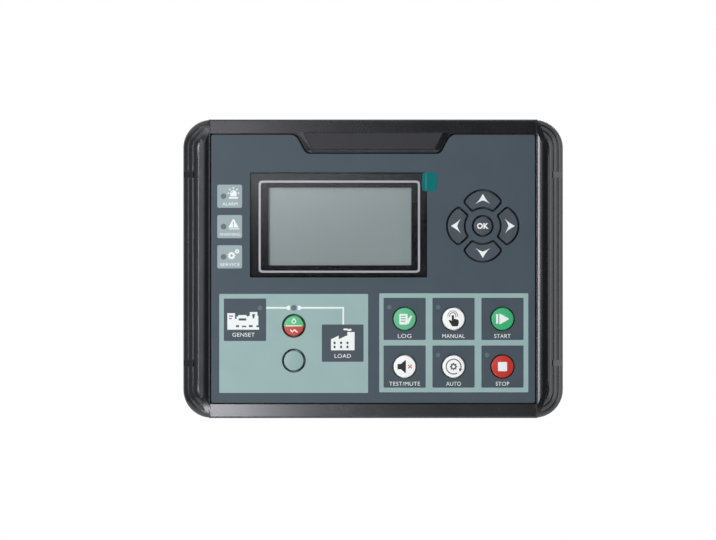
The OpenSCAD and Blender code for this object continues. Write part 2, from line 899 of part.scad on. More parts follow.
module key_log() {
    color("#74d0a0") round_key(log_at, grid_cap_r, grid_hole / 2);
}

module key_manual() {
    color("#f8fafa") round_key(manual_at, grid_cap_r, grid_hole / 2);
}

module key_start() {
    color("#32b46e") round_key(start_at, grid_cap_r, grid_hole / 2);
}

module key_mute() {
    color("#f8fafa") round_key(mute_at, grid_cap_r, grid_hole / 2);
}

module key_auto() {
    color("#f8fafa") round_key(auto_at, grid_cap_r, grid_hole / 2);
}

module key_stop() {
    color("#ba463c") round_key(stop_at, grid_cap_r, grid_hole / 2);
}

module key_breaker() {
    color("#82c6a0") round_key(breaker_at, mimic_cap_r, mimic_hole / 2);
}

module key_spare() {
    color("#98b3b0") round_key(spare_at, mimic_cap_r, mimic_hole / 2);
}

// Hollow dome of the mat under one key
module mat_dome() {
    low = board_front + mat_t - play;
    hollow_h = cut + key_travel + dome_free;
    difference() {
        translate([0, 0, low]) cylinder(h = dome_top - low, r1 = dome_foot_r, r2 = dome_top_r);
        translate([0, 0, low - cut])
            cylinder(h = hollow_h, r1 = dome_foot_r - dome_wall, r2 = dome_top_r - dome_skin);
    }
}

module key_mat() {
    low = board_front - cut;
    high = board_front + mat_t + cut;
    edge = dome_foot_r + dome_wall;
    petal_places = [for (a = [0, 90, 180, 270]) nav_at + petal_mid * [cos(a), sin(a)]];
    places = concat(grid_keys, [breaker_at, spare_at, nav_at], petal_places);
    reach_out = petal_mid + edge;
    top = breaker_y + 2 * edge + mat_margin;
    outline = [
        [mimic_x - edge, low_y - edge], [right_x + edge, low_y - edge],
        [right_x + edge, nav_y - reach_out], [nav_x + reach_out, nav_y - reach_out],
        [nav_x + reach_out, nav_y + reach_out], [nav_x - reach_out, nav_y + reach_out],
        [nav_x - reach_out, top], [mimic_x - edge, top]
    ];
    color("#55585c") facing() {
        difference() {
            prism(board_front, board_front + mat_t) polygon(outline);
            for (p = guides) at(p) cylinder_between(low, high, guide_pass);
            for (p = places) at(p) cylinder_between(low, high, dome_foot_r - dome_wall);
        }
        for (p = places) at(p) mat_dome();
    }
}

module light_guides() {
    color("#d8e0e0") facing() for (p = guides) at(p)
        cylinder_between(board_front + led_h + play, floor_z - play / 2, guide_d / 2);
}

module status_leds() {
    color("#f0f0d8") facing() for (p = guides) at(p) prism(board_front, board_front + led_h)
        square(led_size, center = true);
}

// Plan of both boards, with notches for the cover's columns and holes for the fixings
module board_plan() {
    difference() {
        square([board_w, board_h], center = true);
        for (s = [-1, 1], t = [-1, 1]) translate([s * board_w / 2, t * board_h / 2])
            square(2 * board_notch, center = true);
        spacer_places() circle(board_hole / 2);
    }
}

module main_board() {
    color("#1f5a3a") facing() prism(board_back, board_front) difference() {
        board_plan();
        mid_places() circle(board_hole / 2);
    }
}

// Pan-head screw whose seat is at the origin and whose shank runs outward
module pan_screw(shank) {
    cross = head_r * 1.2;
    difference() {
        union() {
            cylinder_between(-head_t, 0, head_r);
            cylinder_between(-play, shank, screw_d / 2);
        }
        for (a = [0, 90]) rotate([0, 0, a]) translate([-cross / 2, -slot_w / 2, -head_t - cut])
            cube([cross, slot_w, cut + slot_d]);
    }
}

module main_board_screws() {
    color("#b8bcc0") facing() mid_places() translate([0, 0, board_back]) pan_screw(board_t + stud_len);
}

module logic_chips() {
    color("#26282a") facing() for (c = chips) translate([c[0], c[1], 0]) prism(board_back - c[4], board_back)
        square([c[2], c[3]], center = true);
}

module buzzer() {
    low = board_back - buzzer_d;
    color("#202224") facing() at(buzzer_at) difference() {
        cylinder_between(low, board_back, buzzer_r);
        cylinder_between(low - cut, low + port_d, port_r);
    }
}

module cell_holder() {
    low = board_back - cell_d;
    color("#2c2e30") facing() at(cell_at) difference() {
        cylinder_between(low, board_back, holder_r);
        cylinder_between(low - cut, board_back - cell_seat, cell_r + holder_play);
        translate([0, cell_r, low - cut]) cube([holder_slot.x, holder_slot.y, cut + cell_d - cell_seat]);
    }
}

module backup_cell() {
    low = board_back - cell_d;
    color("#c8ccd0") facing() at(cell_at) difference() {
        cylinder_between(low, board_back - cell_seat, cell_r);
        difference() {
            cylinder_between(low - cut, low + cell_step, cell_r + cut);
            cylinder_between(low - cut, low + cell_step, cell_r - cell_rim);
        }
    }
}

module link_socket() {
    low = board_back - socket_h;
    color("#222426") facing() at(link_at) difference() {
        prism(low, board_back) square([link_len, link_w], center = true);
        prism(low - cut, board_back - socket_floor)
            square([link_len - socket_end, socket_slot], center = true);
    }
}

module link_header() {
    color("#c9a64a") facing() at(link_at) {
        prism(power_front, power_front + link_base) square([link_len, link_w], center = true);
        for (i = [0:link_pins - 1]) translate([(i - (link_pins - 1) / 2) * link_pitch, 0, 0])
            prism(power_front + link_base / 2, board_back - link_base) square(link_pin, center = true);
    }
}

// Hexagonal spacer with a stud through the main board and a bore for the power board's screw
module board_spacers() {
    color("#c2a14c") facing() spacer_places() difference() {
        union() {
            translate([0, 0, power_front]) cylinder(h = stack_gap, r = spacer_af / sqrt(3), $fn = 6);
            cylinder_between(board_back - play, board_front + stud_len, screw_d / 2);
        }
        cylinder_between(power_front - cut, power_front + stud_len + 1, bore_d / 2);
    }
}

module power_board() {
    color("#1f5a3a") facing() prism(power_back, power_front) board_plan();
}

module power_board_screws() {
    color("#b8bcc0") facing() spacer_places() translate([0, 0, power_back]) pan_screw(board_t + stud_len);
}

module relays() {
    color("#2f3336") facing() for (i = [0:relay_count - 1])
        translate([(i - (relay_count - 1) / 2) * relay_pitch, part_y, 0])
            prism(power_back - relay_d, power_back) round_rect(relay_w, relay_h, 0.8);
}

module filter_capacitors() {
    low = power_back - capacitor_d;
    color("#2b3a55") facing() for (i = [0:capacitor_count - 1])
        translate([capacitor_x + i * capacitor_pitch, -part_y, 0]) difference() {
            cylinder_between(low, power_back, capacitor_r);
            for (a = [0, 90]) rotate([0, 0, a]) translate([-cross_l / 2, -slot_w / 2, low - cut])
                cube([cross_l, slot_w, cut + cross_d]);
        }
}

// Current transformers: a moulded block with an open core
module current_transformers() {
    color("#33363a") facing() for (i = [0:core_count - 1])
        translate([i * core_pitch - core_x, -part_y, 0]) difference() {
            prism(power_back - core_d, power_back) round_rect(core_w, core_h, 2);
            translate([0, 0, power_back - core_d / 2 - cut]) rotate([90, 0, 0])
                cylinder(h = 2 * core_h, r = core_bore, center = true);
        }
}

// Header: a trough that stands on the power board and ends just behind its window
module terminal_header(b) {
    l = block_len(b);
    color("#26302c") facing() translate([b[0], b[1] * terminal_y, 0]) difference() {
        prism(header_mouth, power_back) square([l, header_h], center = true);
        prism(header_mouth - cut, power_back - header_floor)
            square([l - 2 * header_wall, header_h - 2 * header_wall], center = true);
    }
}

module terminal_header_top() {
    terminal_header(blocks[0]);
}

module terminal_header_left() {
    terminal_header(blocks[1]);
}

module terminal_header_right() {
    terminal_header(blocks[2]);
}

module terminal_pins() {
    color("#c8ccd0") facing() for (b = blocks, i = [0:b[2] - 1])
        translate([b[0] + pole_x(b, i), b[1] * terminal_y, 0])
            prism(header_mouth + 2, power_back - header_floor) square(1, center = true);
}

// Plug at the origin: a nose in the header, screws on the outward side and wire entries at the back
module plug_body(b) {
    l = block_len(b);
    high = plug_h / 2;
    difference() {
        union() {
            along_x(l) polygon([
                [-high, -play], [high, -play], [high, -plug_reach * plug_slope],
                [high - plug_cut, -plug_reach], [-high + plug_edge, -plug_reach],
                [-high, -plug_reach + plug_edge]
            ]);
            translate([0, 0, nose_d / 2 - play])
                cube([l - 2 * header_wall - 2 * fit, nose_h, nose_d], center = true);
        }
        translate([0, 0, nose_d - nose_slot_d / 2 + 3 * play])
            cube([l - 4 * header_wall, nose_slot_h, nose_slot_d], center = true);
        for (i = [0:b[2] - 1]) translate([pole_x(b, i), 0, 0]) {
            translate([0, high + cut, -well_at]) rotate([90, 0, 0])
                cylinder(h = well_depth + cut, r = well_d / 2);
            translate([-wire_w / 2, -wire_drop - wire_h / 2, -plug_reach - cut])
                cube([wire_w, wire_h, wire_depth + cut]);
        }
    }
}

module terminal_plug(b) {
    color("#2f7a4a") facing() translate([b[0], 0, header_mouth]) mirror([0, b[1] < 0 ? 1 : 0, 0])
        translate([0, terminal_y, 0]) plug_body(b);
}

module terminal_plug_top() {
    terminal_plug(blocks[0]);
}

module terminal_plug_left() {
    terminal_plug(blocks[1]);
}

module terminal_plug_right() {
    terminal_plug(blocks[2]);
}

// Slotted screws at the bottom of the plugs' wells
module terminal_screws() {
    y = terminal_y + plug_h / 2 - well_depth;
    color("#b8bcc0") facing() for (b = blocks, i = [0:b[2] - 1])
        mirror([0, b[1] < 0 ? 1 : 0, 0]) translate([b[0] + pole_x(b, i), y, header_mouth - well_at])
            rotate([-90, 0, 0]) difference() {
                cylinder(h = terminal_screw_h, r = well_d / 2 - fit);
                translate([-well_d / 2, -slot_w / 2, terminal_screw_h - 2 * cross_d])
                    cube([well_d, slot_w, terminal_screw_h]);
            }
}

module panel_gasket() {
    color("#2a2b2c") facing() prism(0, seal_d)
        ring(seal_out_w - 2 * play, seal_out_h - 2 * play, seal_r, seal_w - 2 * play);
}

// Box of the rear cover, or of its hollow set in by d
module cover_body(d) {
    prism(-ledge_d + d, cover_seat + (d > 0 ? cut : 0))
        round_rect(cover_w - 2 * d, cover_h - 2 * d, cover_r - d / 2);
    prism(-deck_d + d, -ledge_d + d + seam)
        round_rect(deck_w - 2 * d, deck_h - 2 * d, deck_r - d / 2);
}

module clip_places() {
    for (s = [-1, 1], t = [0, 1]) mirror([0, t, 0]) translate([s * clip_x, cover_h / 2, 0]) children();
}

module rear_cover() {
    vent_pitch = vent_w + vent_rib;
    inside = -ledge_d + cover_wall + cut;
    color("#222428") facing() difference() {
        union() {
            difference() {
                cover_body(0);
                cover_body(cover_wall);
            }
            column_places() cylinder_between(-ledge_d + cut / 2, cover_seat, column_r);
        }
        column_places() cylinder_between(-ledge_d - cut, cut, board_hole / 2);
        column_places() cylinder_between(-ledge_d - cut, -ledge_d + head_sink, head_r + head_play);
        for (b = blocks) translate([b[0], b[1] * terminal_y, 0]) prism(-ledge_d - cut, inside)
            square([block_len(b) + 2 * fit, header_h + 2 * fit], center = true);
        for (s = [-1, 1], i = [0:vent_count - 1])
            translate([s * (deck_w / 2 - vent_edge - i * vent_pitch), 0, 0])
                prism(-deck_d - cut, -deck_d + cover_wall + cut) round_rect(vent_w, vent_len, vent_w * 0.45);
        clip_places() translate([-clip_slot_w / 2, -cover_wall - cut, clip_z - clip_slot_h / 2])
            cube([clip_slot_w, cover_wall + 2 * cut, clip_slot_h]);
    }
}

module cover_screws() {
    color("#b8bcc0") facing() column_places() translate([0, 0, -ledge_d + head_sink])
        pan_screw(ledge_d - head_sink + stud_len);
}

// Clip: a hooked tongue in the cover's slot, a plate on its wall and a block for the screw
module fixing_clips() {
    tongue_w = clip_slot_w - 2 * fit;
    tongue_h = clip_slot_h - 2 * fit;
    block_y = clip_out - clip_plate;
    foot = clip_z - clip_block / 2;
    low = clip_z - tongue_h / 2;
    color("#3a3d42") facing() clip_places() difference() {
        union() {
            translate([-clip_w / 2, play, clip_z - clip_block])
                cube([clip_w, clip_plate, 2 * clip_block - clip_short]);
            translate([-clip_w / 2 + clip_inset, clip_plate - cut, foot])
                cube([clip_w - 2 * clip_inset, block_y + cut, clip_block]);
            translate([-tongue_w / 2, -hook_in, low]) cube([tongue_w, cover_wall + 2, tongue_h]);
            translate([-tongue_w / 2, -hook_in, low - hook_drop]) cube([tongue_w, hook_t, hook_drop + seam]);
            for (s = [-1, 1]) translate([s * (clip_w / 2 - 1.5 * clip_inset), clip_plate, foot])
                rotate([0, -90, 0]) linear_extrude(clip_inset, center = true)
                    polygon([[0, -cut / 2], [-clip_rib, -cut / 2], [0, block_y * 0.7]]);
        }
        translate([0, clip_reach, clip_z])
            cylinder_between(-2 * clip_block, 2 * clip_block, clip_screw_d / 2 + play);
    }
}

// Slotted clamping screws with a rounded point
module clip_screws() {
    r = clip_screw_d / 2;
    color("#b8bcc0") facing() clip_places() translate([0, clip_reach, 0]) difference() {
        union() {
            cylinder_between(clip_screw_end, -panel_grip - r / 2, r);
            translate([0, 0, -panel_grip - r / 2]) cylinder(h = r / 2, r1 = r, r2 = r / 2);
            cylinder_between(clip_screw_end - clip_head, clip_screw_end, r * 1.75);
        }
        translate([-2 * r, -cut / 2, clip_screw_end - clip_head - cut]) cube([4 * r, cut, cut + hook_t]);
    }
}

front_bezel();
face_overlay();
badge_plate();
display_lens();
lens_film();
pull_tab();
display_frame();
display_glass();
display_backlight();
key_up();
key_down();
key_left();
key_right();
key_ok();
key_log();
key_manual();
key_start();
key_mute();
key_auto();
key_stop();
key_breaker();
key_spare();
key_mat();
light_guides();
status_leds();
main_board();
main_board_screws();
logic_chips();
buzzer();
cell_holder();
backup_cell();
link_socket();
link_header();
board_spacers();
power_board();
power_board_screws();
relays();
filter_capacitors();
current_transformers();
terminal_header_top();
terminal_header_left();
terminal_header_right();
terminal_pins();
terminal_plug_top();
terminal_plug_left();
terminal_plug_right();
terminal_screws();
panel_gasket();
rear_cover();
cover_screws();
fixing_clips();
clip_screws();
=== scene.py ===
# Looks of a panel-mounted generating-set controller: finishes for its parts, the print on its face,
# the signs on its keys, the mat under them, and a plain studio. Shapes are drawn in millimetres seen
# from the front, with x to the right, z up and out towards the viewer, and are turned into metres when
# a piece is made.
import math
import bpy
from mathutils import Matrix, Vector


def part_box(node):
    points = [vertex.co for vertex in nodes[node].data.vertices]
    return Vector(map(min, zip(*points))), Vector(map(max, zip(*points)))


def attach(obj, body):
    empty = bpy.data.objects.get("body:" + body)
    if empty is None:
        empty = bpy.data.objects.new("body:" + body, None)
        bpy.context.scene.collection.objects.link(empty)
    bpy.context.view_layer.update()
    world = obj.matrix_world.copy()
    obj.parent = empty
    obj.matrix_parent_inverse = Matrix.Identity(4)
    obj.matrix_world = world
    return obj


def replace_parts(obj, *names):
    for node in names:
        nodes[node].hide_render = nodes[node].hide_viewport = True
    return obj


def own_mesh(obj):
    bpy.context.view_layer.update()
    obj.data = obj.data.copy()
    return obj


bl_info = {
    "name": "Generating-set controller looks",
    "version": (1, 0, 0),
    "blender": (4, 5, 0),
    "location": "3D View > Sidebar > Controller",
    "description": "Finishes, print and studio for a panel-mounted generating-set controller",
    "category": "Object",
}

import bmesh
import bpy
from bpy.props import FloatProperty, FloatVectorProperty, PointerProperty
from mathutils import Vector
from mathutils.geometry import tessellate_polygon

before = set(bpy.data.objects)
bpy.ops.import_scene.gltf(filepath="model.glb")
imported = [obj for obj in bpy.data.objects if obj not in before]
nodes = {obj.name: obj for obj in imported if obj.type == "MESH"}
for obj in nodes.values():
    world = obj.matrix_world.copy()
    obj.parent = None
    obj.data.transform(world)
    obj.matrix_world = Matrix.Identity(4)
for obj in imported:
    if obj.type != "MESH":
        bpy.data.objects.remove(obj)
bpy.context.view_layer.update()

FUNCTION_KEYS = ("key_log", "key_manual", "key_start", "key_mute", "key_auto", "key_stop")
ARROW_KEYS = {"key_up": 0, "key_left": 90, "key_down": 180, "key_right": 270}
LIT_KEYS = ("key_log", "key_manual", "key_auto", "key_stop")

# Levels of the print: the face, and how far ink is let into the face and into a key; and the length
# towards which the edges of a sign on a crowned key are cut
FACE_LEVEL = -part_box("face_overlay")[0].y * 1000
PRINT_SINK = 0.01
PRINT_FOOT = FACE_LEVEL - PRINT_SINK
SIGN_FOOT = -0.02
SIGN_CELL = 0.9

# Layout of the face; an area is its left, bottom, right and top
TILE_HEIGHTS = (46.1, 26.8, 7.6)
TILE_X = -91.2
TILE_LED_STEP = -3.9
TILE_SIGN_STEP = (2.4, 1.7)
TILE_WORD_STEP = (0.2, -4.9)
LED_STEP = (-9.8, 7.4)
LINE_Z = -24.8
GENSET_LED_X = -71.9
LOAD_LINE_X = -19.0
GENSET_SIGN = (-82.6, -33.1)
GENSET_WORD = (-82.4, -41.9)
LOAD_SIGN = (-19.3, -44.9)
LOAD_WORD = (-19.3, -55.4)
KEY_FIELD = (3.9, -78.5, 98.6, -15.6)
DIAGRAM_FIELD = (-97.8, -78.9, -3.2, -16.0)
GENSET_CELL = (-94.9, -45.9, -68.0, -18.9)
LOAD_CELL = (-32.6, -59.1, -6.1, -35.4)
DIAGRAM_KEY_HOLE = 7.65
KEY_WORD_DROP = 10.9
ARROW_REACH = 17.2

# The lens: the clear area, the silver line with its corner radius, and the levels of the two inks
VIEW_AREA = (-66.6, 2.2, 24.2, 51.6)
LENS_LINE = ((-72.8, -2.5, 29.8, 56.1, 2.4), (-71.5, -1.2, 28.5, 54.8, 1.4))
BORDER_INK = (0.04, 0.08)
LINE_INK = (0.1, 0.13)

# Gaps and holes of the bezel that get painted shade, where shadow falls, and a matt finish: their reach past
# the sheet's edge, and the depths behind the sheet at which they start and end
SHADED_WELL_EDGE = 0.9
SHADED_WELL_START = 0.05
SHADED_WELL_END = 4.0

# The key mat: a dome's section is given as radius and height
MAT_SHEET = 1.0
GUIDE_HOLE = 2.4
ARROW_DOME = 17.1
MAT_OUTLINE = [(-56.0, -67.75), (87.8, -67.75), (87.8, 4.5), (92.4, 4.5), (92.4, 49.9), (47.0, 49.9),
               (47.0, -20.05), (-56.0, -20.05)]
DOME_SECTION = ((0.0, 2.3), (3.0, 2.3), (4.34, 0.0), (4.96, 0.0), (3.5, 3.83), (3.42, 3.98), (3.25, 4.08),
                (3.1, 4.1), (0.0, 4.1))

# Studio, in metres: lights with their place, width and height, and whether reflections alone meet them;
# cards with the name of their glow, their place, turn and half width, and the middle and reach of the
# pale patch on them; the floor; and the camera's sensor, in millimetres
LIGHTS = (
    ("side_light", (-1.1, -1.5, 0.12), 0.8, 0.6, False),
    ("top_light", (-0.3, -0.66, 0.6), 0.4, 0.3, False),
    ("low_light", (-0.2, -0.43, -0.467), 0.2, 0.14, True),
    ("right_light", (0.6, -0.15, 0.0), 0.25, 0.7, False),
    ("back_light", (0.5, 1.5, 0.7), 0.8, 0.8, False),
)
CARDS = (
    ("front_card", "glow", (0, -1.6, 0), 0, 3.0, (-0.2, 0.22, 0.46, 0.23)),
    ("side_card", "side_glow", (-2.2, -0.4, 0), 90, 1.3, (0.0, 0.0, 2.0, 2.0)),
)
FLOOR_RADIUS = 0.75
FLOOR_STEPS = 64
SENSOR = 36.0


def linear(red, green, blue):
    """Colour for a socket, from the numbers of a screen colour."""
    tones = []
    for value in (red, green, blue):
        share = value / 255
        tones.append(share / 12.92 if share <= 0.04045 else ((share + 0.055) / 1.055) ** 2.4)
    return tuple(tones)


def colour_property(label, note, *screen):
    return FloatVectorProperty(
        name=label, description=note, default=linear(*screen), subtype="COLOR", size=3, min=0.0, max=1.0
    )


def length_property(label, note, millimetres):
    return FloatProperty(
        name=label, description=note, default=millimetres / 1000, unit="LENGTH", subtype="DISTANCE", min=0.0
    )


def level_property(label, note, value):
    return FloatProperty(name=label, description=note, default=value, min=0.0)


class ControllerColours(bpy.types.PropertyGroup):
    """Colours of the controller's finishes and inks."""

    bezel: colour_property("Bezel", "Gloss black of the front moulding", 22, 23, 26)
    badge: colour_property("Badge", "Satin plate on the visor", 40, 38, 45)
    overlay: colour_property("Overlay", "Slate ground of the printed sheet", 60, 74, 85)
    pale: colour_property("Pale field", "Grey-green ink of the two large fields", 150, 178, 178)
    tile: colour_property("Tile", "Grey ink of the status tiles", 153, 170, 174)
    white_ink: colour_property("White ink", "Words, lines and signs", 238, 243, 243)
    black_ink: colour_property("Black ink", "Signs on the white keys", 24, 25, 28)
    grey_ink: colour_property("Grey ink", "Thin arrows on the white keys", 92, 96, 98)
    red_ink: colour_property("Red ink", "Cross beside the horn", 196, 70, 58)
    window: colour_property("Indicator", "Unlit indicator windows", 96, 116, 119)
    lens_black: colour_property("Lens border", "Black ink behind the lens", 9, 10, 13)
    lens_line: colour_property("Lens line", "Silver line round the display", 180, 178, 187)
    display: colour_property("Display", "Unlit display", 136, 147, 148)
    tab: colour_property("Pull tab", "Tab of the lens film", 9, 110, 109)
    green: colour_property("Green key", "Start key", 60, 180, 120)
    pale_green: colour_property("Pale green key", "Log key", 98, 190, 142)
    red: colour_property("Red key", "Stop key", 198, 52, 44)
    white: colour_property("White key", "Manual, mute and auto keys", 250, 252, 252)
    slate: colour_property("Slate key", "Navigation keys", 62, 71, 80)
    half_green: colour_property("Closed half", "Upper half of the breaker key", 96, 190, 132)
    half_red: colour_property("Open half", "Lower half of the breaker key", 196, 84, 72)
    cover: colour_property("Cover", "Black of the rear cover", 34, 36, 39)
    clip: colour_property("Clip", "Grey of the panel clips", 58, 61, 66)
    terminal: colour_property("Terminal", "Green of the plugs", 38, 122, 70)
    board: colour_property("Board", "Solder mask of the boards", 24, 84, 52)
    brass: colour_property("Brass", "Spacers", 190, 156, 78)
    steel: colour_property("Steel", "Screws and pins", 178, 181, 184)


class ControllerSizes(bpy.types.PropertyGroup):
    """Sizes of the print and of the softened edges."""

    ink: length_property("Ink", "Thickness of a printed layer", 0.03)
    line: length_property("Diagram line", "Width of the line on the diagram", 1.05)
    window: length_property("Indicator", "Diameter of an indicator window", 3.6)
    cell: length_property("Cell", "Width of the dark cell round a function key", 26.8)
    tile_w: length_property("Tile width", "Width of a status tile", 15.75)
    tile_h: length_property("Tile height", "Height of a status tile", 14.7)
    words: length_property("Words", "Height of the words under the keys", 2.5)
    small_words: length_property("Small words", "Height of the words on the tiles", 1.9)
    edge: length_property("Edge", "Radius that softens sharp edges of mouldings", 0.3)


class ControllerStage(bpy.types.PropertyGroup):
    """Camera and studio light."""

    distance: length_property("Camera distance", "Distance of the camera from the panel", 3000)
    view_width: length_property("View width", "Width of the picture at the panel", 456.8)
    view_left: length_property("View to the left", "Shift of the picture to the left", 9.63)
    view_down: length_property("View down", "Shift of the picture downwards", 0.77)
    floor_drop: length_property("Floor", "Depth of the floor below the middle", 620)
    fill: level_property("Fill", "Level of the light from all round", 0.22)
    side_light: level_property("Side light", "Brightness of the soft light on the left", 16.0)
    top_light: level_property("Top light", "Brightness of the soft light above on the left", 5.0)
    low_light: level_property("Low light", "Brightness of the card below, met by reflections alone", 20.0)
    right_light: level_property("Right light", "Brightness of the soft light on the right", 1.4)
    back_light: level_property("Back light", "Brightness of the soft light behind", 11.0)
    glow: level_property("Glow", "Brightness of the pale patch on the card round the camera", 3.5)
    side_glow: level_property("Side glow", "Brightness of the card on the left", 0.3)


def counter_clockwise(loop):
    area = 0.0
    for (x0, z0), (x1, z1) in zip(loop, loop[1:] + loop[:1]):
        area += x0 * z1 - x1 * z0
    return list(loop) if area > 0 else list(reversed(loop))


def disc(x, z, radius, steps=28):
    angles = [2 * math.pi * i / steps for i in range(steps)]
    return [(x + radius * math.cos(a), z + radius * math.sin(a)) for a in angles]


def oblong(x0, z0, x1, z1, radius=0.0, steps=5):
    if radius <= 0:
        return [(x0, z0), (x1, z0), (x1, z1), (x0, z1)]
    loop = []
    corners = ((x1 - radius, z0 + radius, -90), (x1 - radius, z1 - radius, 0),
               (x0 + radius, z1 - radius, 90), (x0 + radius, z0 + radius, 180))
    for x, z, start in corners:
        for i in range(steps + 1):
            a = math.radians(start + 90 * i / steps)
            loop.append((x + radius * math.cos(a), z + radius * math.sin(a)))
    return loop


def arc(x, z, radius, start, end, steps=16):
    angles = [math.radians(start + (end - start) * i / steps) for i in range(steps + 1)]
    return [(x + radius * math.cos(a), z + radius * math.sin(a)) for a in angles]


def stroke(path, width):
    """Outline of an open line of that width."""
    left = []
    right = []
    for i, (x, z) in enumerate(path):
        x0, z0 = path[max(i - 1, 0)]
        x1, z1 = path[min(i + 1, len(path) - 1)]
        long = math.hypot(x1 - x0, z1 - z0)
        across = (-(z1 - z0) / long, (x1 - x0) / long)
        reach = width / 2
        if 0 < i < len(path) - 1:
            half = math.hypot(x - x0, z - z0)
            ahead = ((x - x0) / half, (z - z0) / half)
            reach = reach / max(abs(across[0] * -ahead[1] + across[1] * ahead[0]), 0.5)
        left.append((x + across[0] * reach, z + across[1] * reach))
        right.append((x - across[0] * reach, z - across[1] * reach))
    return right + left[::-1]


def gear(x, z, outer, inner, teeth):
    loop = []
    for i in range(teeth):
        for share, radius in ((-0.32, inner), (-0.2, outer), (0.2, outer), (0.32, inner)):
            a = 2 * math.pi * (i + share) / teeth
            loop.append((x + radius * math.cos(a), z + radius * math.sin(a)))
    return loop


def moved(loops, x, z, turn=0.0):
    c = math.cos(math.radians(turn))
    s = math.sin(math.radians(turn))
    return [[(x + a * c - b * s, z + a * s + b * c) for a, b in loop] for loop in loops]


class Plates:
    """Closed plates of even thickness, gathered into one mesh."""

    def __init__(self):
        self.points = []
        self.faces = []

    def add(self, loops, low, high):
        """One plate from its outline and the outlines of its holes."""
        rings = [counter_clockwise(loops[0])]
        rings += [counter_clockwise(hole)[::-1] for hole in loops[1:]]
        flat = [point for ring in rings for point in ring]
        base = len(self.points)
        count = len(flat)
        self.points += [(x, z, low) for x, z in flat]
        self.points += [(x, z, high) for x, z in flat]
        for a, b, c in tessellate_polygon([[Vector((x, z, 0)) for x, z in ring] for ring in rings]):
            (ax, az), (bx, bz), (cx, cz) = flat[a], flat[b], flat[c]
            turn = (bx - ax) * (cz - az) - (cx - ax) * (bz - az)
            if abs(turn) < 1e-12:
                continue
            if turn < 0:
                b, c = c, b
            self.faces.append((base + count + a, base + count + b, base + count + c))
            self.faces.append((base + a, base + c, base + b))
        start = base
        for ring in rings:
            for i in range(len(ring)):
                j = (i + 1) % len(ring)
                self.faces.append((start + i, start + j, start + count + j, start + count + i))
            start += len(ring)

    def add_turned(self, section, x, z, level, steps=32):
        """A turned shape from its section, which starts and ends on the axis."""
        rings = []
        for radius, height in section:
            count = steps if radius else 1
            start = len(self.points)
            for i in range(count):
                a = 2 * math.pi * i / steps
                self.points.append((x + radius * math.cos(a), z + radius * math.sin(a), level + height))
            rings.append([start + i % count for i in range(steps)])
        for one, two in zip(rings, rings[1:]):
            for i in range(steps):
                j = (i + 1) % steps
                face = (one[i], one[j], two[j], two[i])
                self.faces.append(tuple(dict.fromkeys(face)))

    def add_words(self, words, x, z, height, low, high, width, weight=0.0):
        """Words of that height, pressed or spread to a width."""
        curve = bpy.data.curves.new("words", "FONT")
        curve.body = words
        curve.extrude = 0.5
        curve.offset = weight
        curve.resolution_u = 5
        curve.space_character = 1.06
        writing = bpy.data.objects.new("words", curve)
        bpy.context.scene.collection.objects.link(writing)
        bpy.context.view_layer.update()
        mesh = bpy.data.meshes.new_from_object(writing.evaluated_get(bpy.context.evaluated_depsgraph_get()))
        places = [v.co.copy() for v in mesh.vertices]
        left = min(p.x for p in places)
        right = max(p.x for p in places)
        foot = min(p.y for p in places)
        head = max(p.y for p in places)
        tall = height / (head - foot)
        wide = width / (right - left)
        base = len(self.points)
        for p in places:
            self.points.append((
                x + (p.x - (left + right) / 2) * wide,
                z + (p.y - (foot + head) / 2) * tall,
                high if p.z > 0 else low,
            ))
        self.faces += [tuple(base + i for i in face.vertices) for face in mesh.polygons]
        bpy.data.objects.remove(writing)
        bpy.data.curves.remove(curve)
        bpy.data.meshes.remove(mesh)


def make_piece(name, plates, finish, body, on=None):
    """A piece from plates. With on, the plates' levels count from that part's front surface."""
    mesh = bpy.data.meshes.new(name)
    mesh.from_pydata([(x / 1000, -out / 1000, z / 1000) for x, z, out in plates.points], [], plates.faces)
    join_up(mesh)
    if on is not None:
        drape(mesh, nodes[on])
    mesh.materials.append(finish)
    mesh.update()
    piece = bpy.data.objects.new(name, mesh)
    bpy.context.scene.collection.objects.link(piece)
    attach(piece, body)
    return piece


def join_up(mesh):
    """Joins the points that lie in one place, so that the faces close."""
    shape = bmesh.new()
    shape.from_mesh(mesh)
    bmesh.ops.remove_doubles(shape, verts=shape.verts, dist=1e-7)
    shape.to_mesh(mesh)
    shape.free()


def drape(mesh, part):
    """Cuts the plates fine and lays them on the part's crowned front."""
    shape = bmesh.new()
    shape.from_mesh(mesh)
    for _ in range(3):
        long_edges = [edge for edge in shape.edges if edge.calc_length() > SIGN_CELL / 1000]
        if not long_edges:
            break
        bmesh.ops.subdivide_edges(shape, edges=long_edges, cuts=1)
        bmesh.ops.triangulate(shape, faces=shape.faces)
    for vertex in shape.verts:
        met, place, _, _ = part.ray_cast(Vector((vertex.co.x, -0.05, vertex.co.z)), Vector((0, 1, 0)))
        if not met:
            raise RuntimeError("A sign reaches past the front of " + part.name)
        vertex.co.y += place.y
    shape.to_mesh(mesh)
    shape.free()


def middle(node):
    """Middle of a part, seen from the front, in millimetres."""
    low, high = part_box(node)
    return (low.x + high.x) * 500, (low.z + high.z) * 500


def key_light(name):
    """Middle of the indicator beside a function key, in millimetres."""
    x, z = middle(name)
    return x + LED_STEP[0], z + LED_STEP[1]


def new_group(name, inputs, outputs):
    group = bpy.data.node_groups.new(name, "ShaderNodeTree")
    for label, kind, default in inputs:
        socket = group.interface.new_socket(name=label, in_out="INPUT", socket_type=kind)
        socket.default_value = default
    for label, kind in outputs:
        group.interface.new_socket(name=label, in_out="OUTPUT", socket_type=kind)
    return group, group.nodes.new("NodeGroupInput"), group.nodes.new("NodeGroupOutput")


def feed(tree, socket, value):
    """Sets a socket to a value, or links another socket to it."""
    if isinstance(value, bpy.types.NodeSocket):
        tree.links.new(value, socket)
    else:
        socket.default_value = value


